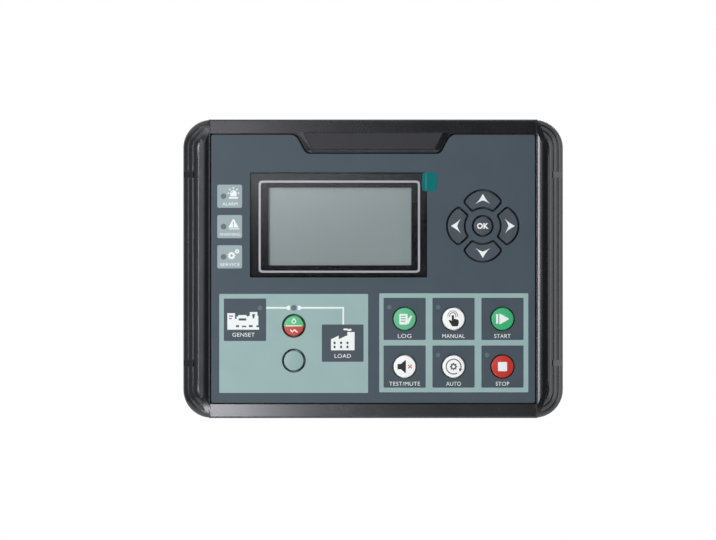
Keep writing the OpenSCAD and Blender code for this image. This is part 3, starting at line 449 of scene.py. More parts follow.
def add_math(tree, operation, first, second):
    node = tree.nodes.new("ShaderNodeMath")
    node.operation = operation
    for socket, value in zip(node.inputs, (first, second)):
        feed(tree, socket, value)
    return node.outputs["Value"]


def add_mix(tree, share, first, second, blend="MIX"):
    """Mixes two colours."""
    node = tree.nodes.new("ShaderNodeMix")
    node.data_type = "RGBA"
    node.blend_type = blend
    for label, value in (("Factor", share), ("A", first), ("B", second)):
        feed(tree, node.inputs[label], value)
    return node.outputs["Result"]


def add_noise(tree, place, scale, detail, roughness=0.5):
    node = tree.nodes.new("ShaderNodeTexNoise")
    for label, value in (("Vector", place), ("Scale", scale), ("Detail", detail), ("Roughness", roughness)):
        feed(tree, node.inputs[label], value)
    return node.outputs[0]


def moulded_group():
    """Grain and slow cloudiness of a moulded or printed plastic."""
    if "Moulded plastic" in bpy.data.node_groups:
        return bpy.data.node_groups["Moulded plastic"]
    group, entry, leave = new_group(
        "Moulded plastic",
        (("Colour", "NodeSocketColor", (0.5, 0.5, 0.5, 1)), ("Tone Spread", "NodeSocketFloat", 0.06),
         ("Roughness", "NodeSocketFloat", 0.4), ("Roughness Spread", "NodeSocketFloat", 0.1),
         ("Grain Scale", "NodeSocketFloat", 2500.0), ("Cloud Scale", "NodeSocketFloat", 45.0),
         ("Wave", "NodeSocketFloat", 0.2)),
        (("Colour", "NodeSocketColor"), ("Roughness", "NodeSocketFloat"), ("Height", "NodeSocketFloat")),
    )
    links = group.links
    place = group.nodes.new("ShaderNodeTexCoord").outputs["Object"]
    grain = add_noise(group, place, entry.outputs["Grain Scale"], 3.0, 0.6)
    cloud = add_noise(group, place, entry.outputs["Cloud Scale"], 4.0)
    lean = add_math(group, "SUBTRACT", cloud, 0.5)
    speck = add_math(group, "MULTIPLY", add_math(group, "SUBTRACT", grain, 0.5), 0.5)
    uneven = add_math(group, "ADD", lean, speck)
    tone = add_math(group, "MULTIPLY", uneven, entry.outputs["Tone Spread"])
    shade = group.nodes.new("ShaderNodeHueSaturation")
    links.new(entry.outputs["Colour"], shade.inputs["Color"])
    links.new(add_math(group, "ADD", add_math(group, "MULTIPLY", tone, 2.0), 1.0), shade.inputs["Value"])
    links.new(shade.outputs["Color"], leave.inputs["Colour"])
    sheen = add_math(group, "MULTIPLY", uneven, entry.outputs["Roughness Spread"])
    rough = add_math(group, "ADD", entry.outputs["Roughness"], add_math(group, "MULTIPLY", sheen, 2.0))
    links.new(rough, leave.inputs["Roughness"])
    wave = add_math(group, "MULTIPLY", cloud, entry.outputs["Wave"])
    links.new(add_math(group, "ADD", grain, add_math(group, "MULTIPLY", wave, 10.0)), leave.inputs["Height"])
    return group


def softened_group():
    """Rounded normals on sharp edges."""
    if "Softened edges" in bpy.data.node_groups:
        return bpy.data.node_groups["Softened edges"]
    group, entry, leave = new_group(
        "Softened edges",
        (("Radius", "NodeSocketFloat", 0.0003),),
        (("Normal", "NodeSocketVector"),),
    )
    bevel = group.nodes.new("ShaderNodeBevel")
    bevel.samples = 4
    group.links.new(entry.outputs["Radius"], bevel.inputs["Radius"])
    group.links.new(bevel.outputs["Normal"], leave.inputs["Normal"])
    return group


def drawn_group():
    """Fine lines of drawn or turned metal, with faint tarnish."""
    if "Drawn metal" in bpy.data.node_groups:
        return bpy.data.node_groups["Drawn metal"]
    group, entry, leave = new_group(
        "Drawn metal",
        (("Colour", "NodeSocketColor", (0.5, 0.5, 0.5, 1)), ("Roughness", "NodeSocketFloat", 0.3),
         ("Line Scale", "NodeSocketFloat", 900.0), ("Tarnish", "NodeSocketFloat", 0.2)),
        (("Colour", "NodeSocketColor"), ("Roughness", "NodeSocketFloat"), ("Height", "NodeSocketFloat")),
    )
    place = group.nodes.new("ShaderNodeTexCoord").outputs["Object"]
    stretch = group.nodes.new("ShaderNodeMapping")
    stretch.inputs["Scale"].default_value = (1.0, 0.12, 1.0)
    group.links.new(place, stretch.inputs["Vector"])
    lines = add_noise(group, stretch.outputs["Vector"], entry.outputs["Line Scale"], 3.0, 0.7)
    cloud = add_noise(group, place, 240.0, 4.0)
    shade = group.nodes.new("ShaderNodeHueSaturation")
    group.links.new(entry.outputs["Colour"], shade.inputs["Color"])
    dim = add_math(group, "MULTIPLY", cloud, entry.outputs["Tarnish"])
    group.links.new(add_math(group, "SUBTRACT", 1.1, dim), shade.inputs["Value"])
    group.links.new(shade.outputs["Color"], leave.inputs["Colour"])
    spread = add_math(group, "MULTIPLY", add_math(group, "SUBTRACT", lines, 0.5), 0.3)
    group.links.new(add_math(group, "ADD", entry.outputs["Roughness"], spread), leave.inputs["Roughness"])
    group.links.new(lines, leave.inputs["Height"])
    return group


def place_group(tree, group, values):
    node = tree.nodes.new("ShaderNodeGroup")
    node.node_tree = group
    for label, value in values.items():
        node.inputs[label].default_value = value
    return node


def new_material(name):
    material = bpy.data.materials.new(name)
    material.use_nodes = True
    return material, material.node_tree, material.node_tree.nodes["Principled BSDF"]


def add_relief(tree, shader, height, depth, edge):
    """Bump from a height over softened edges; depth and edge are in millimetres."""
    bump = tree.nodes.new("ShaderNodeBump")
    bump.inputs["Strength"].default_value = 1.0
    bump.inputs["Distance"].default_value = depth / 1000
    tree.links.new(height, bump.inputs["Height"])
    if edge > 0:
        soft = place_group(tree, softened_group(), {"Radius": edge / 1000})
        tree.links.new(soft.outputs["Normal"], bump.inputs["Normal"])
    tree.links.new(bump.outputs["Normal"], shader.inputs["Normal"])


def plastic(name, colour, roughness, spread=0.1, tone=0.06, grain=2500.0, depth=0.004, wave=0.0, edge=0.0,
            cloud=45.0, gloss=0.5, tint=(1.0, 1.0, 1.0)):
    """A moulded or printed plastic; tint is the colour of its gloss."""
    if name in bpy.data.materials:
        return bpy.data.materials[name]
    material, tree, shader = new_material(name)
    skin = place_group(tree, moulded_group(), {
        "Colour": (*colour, 1), "Tone Spread": tone, "Roughness": roughness, "Roughness Spread": spread,
        "Grain Scale": grain, "Cloud Scale": cloud, "Wave": wave,
    })
    tree.links.new(skin.outputs["Colour"], shader.inputs["Base Color"])
    tree.links.new(skin.outputs["Roughness"], shader.inputs["Roughness"])
    shader.inputs["Specular IOR Level"].default_value = gloss
    shader.inputs["Specular Tint"].default_value = (*tint, 1)
    add_relief(tree, shader, skin.outputs["Height"], depth, edge)
    return material


def metal(name, colour, roughness):
    """A drawn or turned metal."""
    if name in bpy.data.materials:
        return bpy.data.materials[name]
    material, tree, shader = new_material(name)
    skin = place_group(tree, drawn_group(), {"Colour": (*colour, 1), "Roughness": roughness})
    tree.links.new(skin.outputs["Colour"], shader.inputs["Base Color"])
    tree.links.new(skin.outputs["Roughness"], shader.inputs["Roughness"])
    shader.inputs["Metallic"].default_value = 1.0
    add_relief(tree, shader, skin.outputs["Height"], 0.003, 0.1)
    return material


def clear(name, colour, ior, haze, ripple, scale):
    """A clear plastic that lets the light through, once, to what lies behind it."""
    material, tree, shader = new_material(name)
    shader.inputs["Base Color"].default_value = (*colour, 1)
    shader.inputs["Transmission Weight"].default_value = 1.0
    shader.inputs["IOR"].default_value = ior
    place = tree.nodes.new("ShaderNodeTexCoord").outputs["Object"]
    ripples = add_noise(tree, place, scale, 2.0)
    clouds = tree.nodes.new("ShaderNodeMapRange")
    clouds.inputs["To Min"].default_value = haze * 0.7
    clouds.inputs["To Max"].default_value = haze * 1.3
    tree.links.new(ripples, clouds.inputs["Value"])
    tree.links.new(clouds.outputs["Result"], shader.inputs["Roughness"])
    add_relief(tree, shader, ripples, ripple, 0.0)
    path = tree.nodes.new("ShaderNodeLightPath")
    open_way = tree.nodes.new("ShaderNodeBsdfTransparent")
    mix = tree.nodes.new("ShaderNodeMixShader")
    share = add_math(tree, "MAXIMUM", path.outputs["Is Shadow Ray"], path.outputs["Is Diffuse Ray"])
    tree.links.new(share, mix.inputs["Fac"])
    tree.links.new(shader.outputs["BSDF"], mix.inputs[1])
    tree.links.new(open_way.outputs["BSDF"], mix.inputs[2])
    tree.links.new(mix.outputs["Shader"], tree.nodes["Material Output"].inputs["Surface"])
    return material


def ink(name, colour, roughness=0.5):
    """Print on the face: it takes the fine grain of the sheet."""
    return plastic(name, colour, roughness, spread=0.08, tone=0.05, grain=3600.0, depth=0.0035, cloud=70.0)


def key_ink(name, colour):
    """Print on a key."""
    return ink(name, colour, 0.45)


def wear(names, material):
    """Gives parts a finish."""
    for name in names:
        slots = nodes[name].data.materials
        slots.clear()
        slots.append(material)


def shade_and_dull_wells(material, node):
    """Paints shade into the gaps and holes of a moulding just behind a sheet set into it, and makes them
    matt.
    """
    tree = material.node_tree
    shader = tree.nodes["Principled BSDF"]
    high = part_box(node)[1]
    axes = tree.nodes.new("ShaderNodeSeparateXYZ")
    tree.links.new(tree.nodes.new("ShaderNodeTexCoord").outputs["Object"], axes.inputs["Vector"])
    start = add_math(tree, "GREATER_THAN", axes.outputs["Y"], high.y + SHADED_WELL_START / 1000)
    end = add_math(tree, "LESS_THAN", axes.outputs["Y"], high.y + SHADED_WELL_END / 1000)
    shaded_well = add_math(tree, "MULTIPLY", start, end)
    for axis, reach in (("X", high.x), ("Z", high.z)):
        out = add_math(tree, "ABSOLUTE", axes.outputs[axis], 0.0)
        inside = add_math(tree, "LESS_THAN", out, reach + SHADED_WELL_EDGE / 1000)
        shaded_well = add_math(tree, "MULTIPLY", shaded_well, inside)
    colour = shader.inputs["Base Color"].links[0].from_socket
    # Painted shade: the colour in the gaps and holes is darkened towards black.
    shade = add_mix(tree, add_math(tree, "MULTIPLY", shaded_well, 0.8), colour, (0.0, 0.0, 0.0, 1))
    tree.links.new(shade, shader.inputs["Base Color"])
    rough = shader.inputs["Roughness"].links[0].from_socket
    matt = add_math(tree, "MAXIMUM", rough, add_math(tree, "MULTIPLY", shaded_well, 0.95))
    tree.links.new(matt, shader.inputs["Roughness"])


class CONTROLLER_OT_dress_bezel(bpy.types.Operator):
    """Gives the front moulding and the plate on its visor their finishes"""

    bl_idname = "controller.dress_bezel"
    bl_label = "Bezel"

    def execute(self, context):
        colours = context.scene.controller_colours
        edge = context.scene.controller_sizes.edge * 1000
        moulding = plastic(
            "Gloss black moulding", colours.bezel, 0.26, spread=0.05, tone=0.1, grain=1500.0, depth=0.0012,
            wave=0.15, edge=edge, cloud=60.0, gloss=0.71, tint=(0.93, 0.93, 1.0),
        )
        # Painted shade, with a matt finish, in the gaps and holes round the printed sheet.
        shade_and_dull_wells(moulding, "face_overlay")
        wear(["front_bezel"], moulding)
        wear(["badge_plate"], plastic(
            "Satin badge plate", colours.badge, 0.42, spread=0.06, tone=0.08, grain=3200.0, depth=0.003,
            edge=0.15,
        ))
        return {"FINISHED"}


class CONTROLLER_OT_print_overlay(bpy.types.Operator):
    """Gives the printed sheet its ground colour and its two large pale fields"""

    bl_idname = "controller.print_overlay"
    bl_label = "Overlay"

    def execute(self, context):
        colours = context.scene.controller_colours
        sizes = context.scene.controller_sizes
        wear(["face_overlay"], plastic(
            "Slate printed sheet", colours.overlay, 0.5, spread=0.1, tone=0.05, grain=3600.0, depth=0.0035,
            cloud=70.0,
        ))
        high = FACE_LEVEL + sizes.ink * 1000
        fields = Plates()
        half = sizes.cell * 500
        cells = []
        for name in FUNCTION_KEYS:
            x, z = middle(name)
            cells.append(oblong(x - half, z - half, x + half, z + half, 0.6))
        fields.add([oblong(*KEY_FIELD, 0.5)] + cells, PRINT_FOOT, high)
        holes = [disc(*middle(name), DIAGRAM_KEY_HOLE, 48) for name in ("key_breaker", "key_spare")]
        holes += [oblong(*GENSET_CELL, 0.4), oblong(*LOAD_CELL, 0.4)]
        fields.add([oblong(*DIAGRAM_FIELD, 0.5)] + holes, PRINT_FOOT, high)
        make_piece("pale_fields", fields, ink("Pale ink", colours.pale), "housing")
        return {"FINISHED"}


class CONTROLLER_OT_print_tiles(bpy.types.Operator):
    """Prints the three status tiles with their signs and words"""

    bl_idname = "controller.print_tiles"
    bl_label = "Status tiles"

    def execute(self, context):
        colours = context.scene.controller_colours
        sizes = context.scene.controller_sizes
        level = FACE_LEVEL + sizes.ink * 1000
        tiles = Plates()
        signs = Plates()
        wide = sizes.tile_w * 500
        tall = sizes.tile_h * 500
        for z in TILE_HEIGHTS:
            tiles.add([oblong(TILE_X - wide, z - tall, TILE_X + wide, z + tall, 1.0)], PRINT_FOOT, level)
        foot = level - PRINT_SINK
        top = level + sizes.ink * 1000
        x_step, z_step = TILE_SIGN_STEP
        for sign, z in zip((beacon_sign(), caution_sign(), gears_sign()), TILE_HEIGHTS):
            for loops in sign:
                signs.add(moved(loops, TILE_X + x_step, z + z_step), foot, top)
        x_step, z_step = TILE_WORD_STEP
        words = (("ALARM", 9.6), ("WARNING", 13.2), ("SERVICE", 12.4))
        for (text, width), z in zip(words, TILE_HEIGHTS):
            signs.add_words(text, TILE_X + x_step, z + z_step, sizes.small_words * 1000, foot, top, width)
        make_piece("status_tiles", tiles, ink("Tile ink", colours.tile), "housing")
        make_piece("status_signs", signs, ink("White ink", colours.white_ink), "housing")
        return {"FINISHED"}


def beacon_sign():
    lamp = [(-2.0, -1.7), (2.0, -1.7)] + arc(0, 0.2, 2.0, 0, 180, 12)
    gleam = stroke(arc(0, 0.2, 1.2, 100, 170, 5), 0.5)
    rays = []
    for turn in (0, 45, 90, 135, 180):
        c = math.cos(math.radians(turn))
        s = math.sin(math.radians(turn))
        rays.append([stroke([(2.75 * c, 0.3 + 2.75 * s), (3.7 * c, 0.3 + 3.7 * s)], 0.7)])
    return [[lamp, gleam], [oblong(-2.9, -3.2, 2.9, -2.2, 0.3, 2)]] + rays


def caution_sign():
    triangle = [(-3.3, -2.3), (3.3, -2.3), (0.35, 3.1), (-0.35, 3.1)]
    return [
        [triangle, oblong(-0.35, -0.5, 0.35, 1.5, 0.2, 2), disc(0, -1.35, 0.42, 12)],
        [oblong(-2.7, -3.4, 3.9, -2.85, 0.2, 2)],
    ]


def gears_sign():
    return [
        [gear(-1.2, -0.9, 2.5, 1.95, 9), disc(-1.2, -0.9, 0.85, 16)],
        [gear(2.3, 1.8, 1.55, 1.15, 8), disc(2.3, 1.8, 0.45, 12)],
    ]


def generator_sign():
    outline = [(-10.1, -5.6), (10.1, -5.6), (10.1, -4.0), (8.4, -4.0), (8.4, -2.8), (9.6, -2.8), (9.6, 3.2),
               (9.0, 3.2), (9.0, 5.6), (4.2, 5.6), (4.2, 3.2), (3.4, 3.2), (3.4, 2.8), (2.2, 2.8), (2.2, 3.7),
               (-3.2, 3.7), (-3.2, 2.8), (-4.2, 2.8), (-4.2, 1.2), (-5.2, 1.2), (-5.2, 4.9), (-10.1, 4.9)]
    gaps = [oblong(-4.6, -4.0, -2.6, -2.7, 0.2, 2), oblong(-0.8, -4.0, 2.0, -3.1, 0.2, 2),
            oblong(3.6, -4.0, 6.0, -2.7, 0.2, 2), oblong(-9.0, 2.7, -6.4, 3.4, 0.2, 2),
            oblong(-9.0, 1.1, -7.2, 1.8, 0.2, 2), oblong(-2.9, 0.2, 2.0, 1.6, 0.3, 2),
            stroke([(7.6, 3.9), (6.5, 3.9), (6.5, 1.6)], 0.9)]
    return [[outline] + gaps]


def works_sign():
    outline = [(-7.5, -6.9), (7.5, -6.9), (7.5, 4.7), (2.9, 4.7), (2.9, 2.4), (2.2, 2.4), (-2.6, 0.1),
               (-2.6, 2.4), (-7.5, 0.1)]
    panes = []
    for x in (-5.2, -1.1, 3.0):
        for z in (-2.2, -4.8):
            panes.append(oblong(x - 0.65, z - 0.8, x + 0.65, z + 0.8, 0.2, 2))
    smoke = [(0.0, 6.5), (0.9, 5.8), (2.6, 5.9), (3.4, 5.3), (5.0, 5.4), (5.8, 6.2), (5.0, 6.9), (3.6, 6.6),
             (2.4, 7.0), (0.9, 6.9)]
    return [[outline] + panes, [smoke]]


class CONTROLLER_OT_print_diagram(bpy.types.Operator):
    """Prints the line from the generator to the load, with the two signs and their words"""

    bl_idname = "controller.print_diagram"
    bl_label = "Diagram"

    def execute(self, context):
        colours = context.scene.controller_colours
        sizes = context.scene.controller_sizes
        thick = sizes.ink * 1000
        half = sizes.line * 500
        low = LINE_Z - half
        high = LINE_Z + half
        x = middle("key_breaker")[0]
        tip = ((5.0, half), (3.4, 1.5), (2.4, 1.2))
        supply = [(GENSET_CELL[2], low)]
        supply += [(x - reach, LINE_Z - wide) for reach, wide in tip]
        supply += [(x - reach, LINE_Z + wide) for reach, wide in reversed(tip)]
        supply.append((GENSET_CELL[2], high))
        output = [(x + reach, LINE_Z - wide) for reach, wide in reversed(tip)]
        output += [(LOAD_LINE_X - half, low), (LOAD_LINE_X - half, LOAD_CELL[3]),
                   (LOAD_LINE_X + half, LOAD_CELL[3]), (LOAD_LINE_X + half, high)]
        output += [(x + reach, LINE_Z + wide) for reach, wide in tip]
        drawing = Plates()
        for line in (supply, output):
            drawing.add([line], PRINT_FOOT, FACE_LEVEL + 2 * thick)
        top = FACE_LEVEL + thick
        for sign, place in ((generator_sign(), GENSET_SIGN), (works_sign(), LOAD_SIGN)):
            for loops in sign:
                drawing.add(moved(loops, *place), PRINT_FOOT, top)
        tall = sizes.words * 1000
        drawing.add_words("GENSET", *GENSET_WORD, tall, PRINT_FOOT, top, 14.2)
        drawing.add_words("LOAD", *LOAD_WORD, tall, PRINT_FOOT, top, 10.4)
        make_piece("diagram_print", drawing, ink("White ink", colours.white_ink), "housing")
        return {"FINISHED"}


class CONTROLLER_OT_print_words(bpy.types.Operator):
    """Prints the word under each function key"""

    bl_idname = "controller.print_words"
    bl_label = "Key words"

    def execute(self, context):
        sizes = context.scene.controller_sizes
        white = ink("White ink", context.scene.controller_colours.white_ink)
        tall = sizes.words * 1000
        high = FACE_LEVEL + sizes.ink * 1000
        texts = (("LOG", 8.6), ("MANUAL", 14.2), ("START", 10.4), ("TEST/MUTE", 19.6), ("AUTO", 9.4),
                 ("STOP", 8.6))
        words = Plates()
        for name, (text, width) in zip(FUNCTION_KEYS, texts):
            x, z = middle(name)
            words.add_words(text, x, z - KEY_WORD_DROP, tall, PRINT_FOOT, high, width)
        make_piece("key_words", words, white, "housing")
        return {"FINISHED"}


class CONTROLLER_OT_dress_indicators(bpy.types.Operator):
    """Makes the indicator windows in the sheet and finishes the guides and diodes behind them"""

    bl_idname = "controller.dress_indicators"
    bl_label = "Indicators"

    def execute(self, context):
        colours = context.scene.controller_colours
        sizes = context.scene.controller_sizes
        thick = sizes.ink * 1000
        radius = sizes.window * 500
        marks = [(TILE_X + TILE_LED_STEP, z) for z in TILE_HEIGHTS]
        marks.append((middle("key_breaker")[0], LINE_Z))
        windows = Plates()
        for x, z in marks:
            windows.add([disc(x, z, radius)], PRINT_FOOT, FACE_LEVEL + 1.6 * thick)
            windows.add([disc(x, z, radius * 0.72)], FACE_LEVEL + 1.4 * thick, FACE_LEVEL + 2.2 * thick)
        make_piece("indicator_windows", windows, plastic(
            "Indicator window", colours.window, 0.3, spread=0.05, tone=0.1, grain=1800.0, depth=0.002,
        ), "housing")
        faint = Plates()
        for x, z in [(GENSET_LED_X, LINE_Z)] + [key_light(name) for name in LIT_KEYS]:
            faint.add([disc(x, z, radius * 0.8)], PRINT_FOOT, FACE_LEVEL + thick)
        shade = tuple(0.15 * a + 0.85 * b for a, b in zip(colours.overlay, colours.window))
        make_piece("key_indicator_windows", faint, plastic(
            "Faint indicator window", shade, 0.32, spread=0.05, tone=0.1, grain=1800.0, depth=0.002,
        ), "housing")
        wear(["light_guides"], clear("Clear guide", (0.95, 0.97, 0.97), 1.49, 0.08, 0.002, 400.0))
        wear(["status_leds"], plastic("Diode body", linear(228, 226, 214), 0.35, edge=0.1))
        return {"FINISHED"}


class CONTROLLER_OT_dress_display(bpy.types.Operator):
    """Finishes the lens, its film and tab, and the display behind it, and prints the lens border"""

    bl_idname = "controller.dress_display"
    bl_label = "Display"

    def execute(self, context):
        colours = context.scene.controller_colours
        low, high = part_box("display_lens")
        back = -high.y * 1000
        rim = oblong(low.x * 1000 + 0.2, low.z * 1000 + 0.2, high.x * 1000 - 0.2, high.z * 1000 - 0.2, 0.8)
        border = Plates()
        border.add([rim, oblong(*VIEW_AREA, 0.5)], *(back + level for level in BORDER_INK))
        make_piece("lens_border", border, plastic(
            "Black lens ink", colours.lens_black, 0.4, spread=0.05, tone=0.1, depth=0.001, gloss=0.05,
        ), "housing")
        line = Plates()
        line.add([oblong(*edge, 8) for edge in LENS_LINE], *(back + level for level in LINE_INK))
        make_piece("lens_line", line, plastic(
            "Silver lens ink", colours.lens_line, 0.38, spread=0.06, tone=0.12, grain=5200.0, depth=0.001,
            gloss=0.1,
        ), "housing")
        wear(["display_lens"], clear("Clear lens", (1.0, 1.0, 1.0), 1.49, 0.06, 0.0006, 60.0))
        wear(["lens_film"], clear("Clear film", (1.0, 1.0, 1.0), 1.3, 0.1, 0.0016, 90.0))
        wear(["pull_tab"], plastic(
            "Teal tab", colours.tab, 0.34, spread=0.08, tone=0.16, grain=1600.0, depth=0.004, gloss=0.12,
        ))
        wear(["display_glass"], display_finish(colours.display))
        wear(["display_frame"], metal("Display frame", linear(150, 152, 154), 0.36))
        wear(["display_backlight"], plastic("White diffuser", linear(226, 227, 224), 0.5, edge=0.2))
        return {"FINISHED"}


def bricked_finish(name, skin_values, offset, brick_values, depth):
    """A plastic under a fine pattern of bricks seen square from the front; depth is that of its grain."""
    material, tree, shader = new_material(name)
    skin = place_group(tree, moulded_group(), skin_values)
    turn = tree.nodes.new("ShaderNodeMapping")
    turn.inputs["Rotation"].default_value = (math.radians(-90), 0, 0)
    tree.links.new(tree.nodes.new("ShaderNodeTexCoord").outputs["Object"], turn.inputs["Vector"])
    bricks = tree.nodes.new("ShaderNodeTexBrick")
    bricks.offset = offset
    bricks.inputs["Color1"].default_value = (1.0, 1.0, 1.0, 1)
    bricks.inputs["Mortar Size"].default_value = 0.03
    for label, value in brick_values.items():
        bricks.inputs[label].default_value = value
    tree.links.new(turn.outputs["Vector"], bricks.inputs["Vector"])
    shade = add_mix(tree, 1.0, skin.outputs["Colour"], bricks.outputs["Color"], "MULTIPLY")
    tree.links.new(shade, shader.inputs["Base Color"])
    tree.links.new(skin.outputs["Roughness"], shader.inputs["Roughness"])
    if depth > 0:
        add_relief(tree, shader, skin.outputs["Height"], depth, 0.0)
    return material


def display_finish(colour):
    """Unlit display: a grey ground with the fine grid of its dots and a slow cloud."""
    return bricked_finish("Unlit display", {
        "Colour": (*colour, 1), "Tone Spread": 0.06, "Roughness": 0.32, "Roughness Spread": 0.06,
        "Grain Scale": 1400.0, "Cloud Scale": 22.0, "Wave": 0.0,
    }, 0.0, {
        "Color2": (0.98, 0.98, 0.98, 1), "Mortar": (0.86, 0.87, 0.87, 1), "Scale": 1000.0,
        "Brick Width": 0.38, "Row Height": 0.38,
    }, 0.0)


class CONTROLLER_OT_dress_arrow_keys(bpy.types.Operator):
    """Finishes the five navigation keys and prints their arrows and word"""

    bl_idname = "controller.dress_arrow_keys"
    bl_label = "Navigation keys"

    def execute(self, context):
        colours = context.scene.controller_colours
        thick = context.scene.controller_sizes.ink * 1000
        wear([*ARROW_KEYS, "key_ok"], plastic(
            "Slate key", colours.slate, 0.55, spread=0.12, tone=0.22, grain=1500.0, depth=0.012, edge=0.2,
            cloud=160.0,
        ))
        white = key_ink("White key ink", colours.white_ink)
        x, z = middle("key_ok")
        head = [(0, 3.1), (-1.5, 0.6), (-3.0, -1.6), (-4.7, -3.1), (-2.2, -1.75), (0, -0.9), (2.2, -1.75),
                (4.7, -3.1), (3.0, -1.6), (1.5, 0.6)]
        for name, turn in ARROW_KEYS.items():
            a = math.radians(turn + 90)
            arrow = Plates()
            place = (x + ARROW_REACH * math.cos(a), z + ARROW_REACH * math.sin(a))
            arrow.add(moved([head], *place, turn), SIGN_FOOT, thick)
            make_piece(name + "_arrow", arrow, white, name, on=name)
        word = Plates()
        word.add_words("OK", x, z, 3.7, SIGN_FOOT, thick, 7.4, 0.045)
        make_piece("key_ok_word", word, white, "key_ok", on="key_ok")
        return {"FINISHED"}


def log_sign():
    sheet = oblong(-3.4, -3.6, 1.9, 3.2, 0.7, 3)
    rows = [oblong(-2.5, z - 0.35, 0.6, z + 0.35, 0.2, 2) for z in (1.7, 0.1, -1.5)]
    tick = stroke([(0.6, -1.0), (1.8, -2.4), (4.4, 2.0)], 1.1)
    return [[sheet] + rows, [tick]]


def hand_sign():
    hand = [(-1.15, 1.9), (-1.15, -1.3), (-2.5, -0.5), (-3.1, -1.1), (-1.6, -3.5), (-0.9, -4.7), (2.6, -4.7),
            (3.3, -2.6), (3.2, -0.9), (2.6, -0.4), (0.3, 0.1), (0.2, 1.9), (-0.1, 2.5), (-0.85, 2.5)]
    rings = [stroke(arc(-0.5, 2.0, 2.0, -25, 205), 0.5), stroke(arc(-0.5, 2.0, 3.1, -10, 190), 0.4)]
    return [[hand]], [[ring] for ring in rings]


def start_sign():
    head = [(-2.0, -3.3), (-1.6, -3.4), (4.0, -0.25), (4.0, 0.25), (-1.6, 3.4), (-2.0, 3.3)]
    return [[oblong(-4.1, -3.1, -2.7, 3.1, 0.3, 2)], [head]]


def horn_sign():
    horn = [(-4.5, -1.7), (-2.4, -1.7), (0.2, -3.9), (0.8, -3.9), (0.8, 3.9), (0.2, 3.9), (-2.4, 1.7),
            (-4.5, 1.7)]
    bars = [stroke([(2.3, -1.1), (4.5, 1.1)], 0.6), stroke([(2.3, 1.1), (3.2, 0.2)], 0.6),
            stroke([(3.6, -0.2), (4.5, -1.1)], 0.6)]
    return [[horn]], [[bar] for bar in bars]


def cycle_sign():
    ring = stroke(arc(0, 0, 4.7, -17, 300, 40), 0.7)
    tip = [(5.59, -1.71), (3.4, -1.04), (3.7, -3.3)]
    hub = [gear(0, 0, 2.4, 1.85, 8), disc(0, 0, 0.95, 16)]
    return [[ring], [tip], hub]


class CONTROLLER_OT_dress_function_keys(bpy.types.Operator):
    """Finishes the six function keys and prints a sign on each"""

    bl_idname = "controller.dress_function_keys"
    bl_label = "Function keys"

    def execute(self, context):
        colours = context.scene.controller_colours
        finishes = (
            (("key_start",), "Green key", colours.green, 0.06),
            (("key_log",), "Pale green key", colours.pale_green, 0.06),
            (("key_manual", "key_mute", "key_auto"), "White key", colours.white, 0.02),
            (("key_stop",), "Red key", colours.red, 0.06),
        )
        for names, label, colour, tone in finishes:
            wear(names, plastic(label, colour, 0.3, spread=0.06, tone=tone, depth=0.002, edge=0.25))
        thick = context.scene.controller_sizes.ink * 1000
        white = key_ink("White key ink", colours.white_ink)
        black = key_ink("Black key ink", colours.black_ink)
        grey = key_ink("Grey key ink", colours.grey_ink)
        red = key_ink("Red key ink", colours.red_ink)
        hand, taps = hand_sign()
        horn, cross = horn_sign()
        signs = (
            ("key_log", "sign", log_sign(), white, "key_white"),
            ("key_manual", "sign", hand, black, "chip_black"),
            ("key_manual", "taps", taps, grey, "clip_grey"),
            ("key_start", "sign", start_sign(), white, "key_white"),
            ("key_mute", "sign", horn, black, "chip_black"),
            ("key_mute", "cross", cross, red, "key_red"),
            ("key_auto", "sign", cycle_sign(), grey, "clip_grey"),
            ("key_stop", "sign", [[oblong(-2.9, -2.9, 2.9, 2.9, 0.5, 3)]], white, "key_white"),
        )
        for name, part, sign, finish, slot in signs:
            plates = Plates()
            for i, loops in enumerate(sign):
                plates.add(moved(loops, *middle(name)), SIGN_FOOT, thick * (1 + 0.3 * i))
            make_piece(name + "_" + part, plates, finish, name, on=name)
        return {"FINISHED"}


class CONTROLLER_OT_dress_diagram_keys(bpy.types.Operator):
    """Finishes the breaker key in its two colours, and the plain key below it"""

    bl_idname = "controller.dress_diagram_keys"
    bl_label = "Diagram keys"

    def execute(self, context):
        colours = context.scene.controller_colours
        wear(["key_spare"], plastic(
            "Pale key", colours.pale, 0.42, spread=0.08, tone=0.08, depth=0.003, edge=0.25,
        ))
        x, z = middle("key_breaker")
        wear(["key_breaker"], halved_finish(colours, z / 1000))
        thick = context.scene.controller_sizes.ink * 1000
        wave = stroke([(-2.3, 0.6), (-0.9, -0.9), (0.2, 0.4), (2.3, -1.0)], 0.7)
        marks = Plates()
        marks.add([oblong(x - 6.0, z - 0.3, x + 6.0, z + 0.3)], SIGN_FOOT, thick)
        marks.add(moved([disc(0, 0, 1.5, 20), disc(0, 0, 0.95, 16)], x, z + 2.9), SIGN_FOOT, thick)
        marks.add([oblong(x - 0.3, z + 3.5, x + 0.3, z + 5.0, 0.1, 2)], SIGN_FOOT, thick * 1.5)
        marks.add(moved([wave], x, z - 3.0), SIGN_FOOT, thick)
        white = key_ink("White key ink", colours.white_ink)
        make_piece("key_breaker_marks", marks, white, "key_breaker", on="key_breaker")
        return {"FINISHED"}


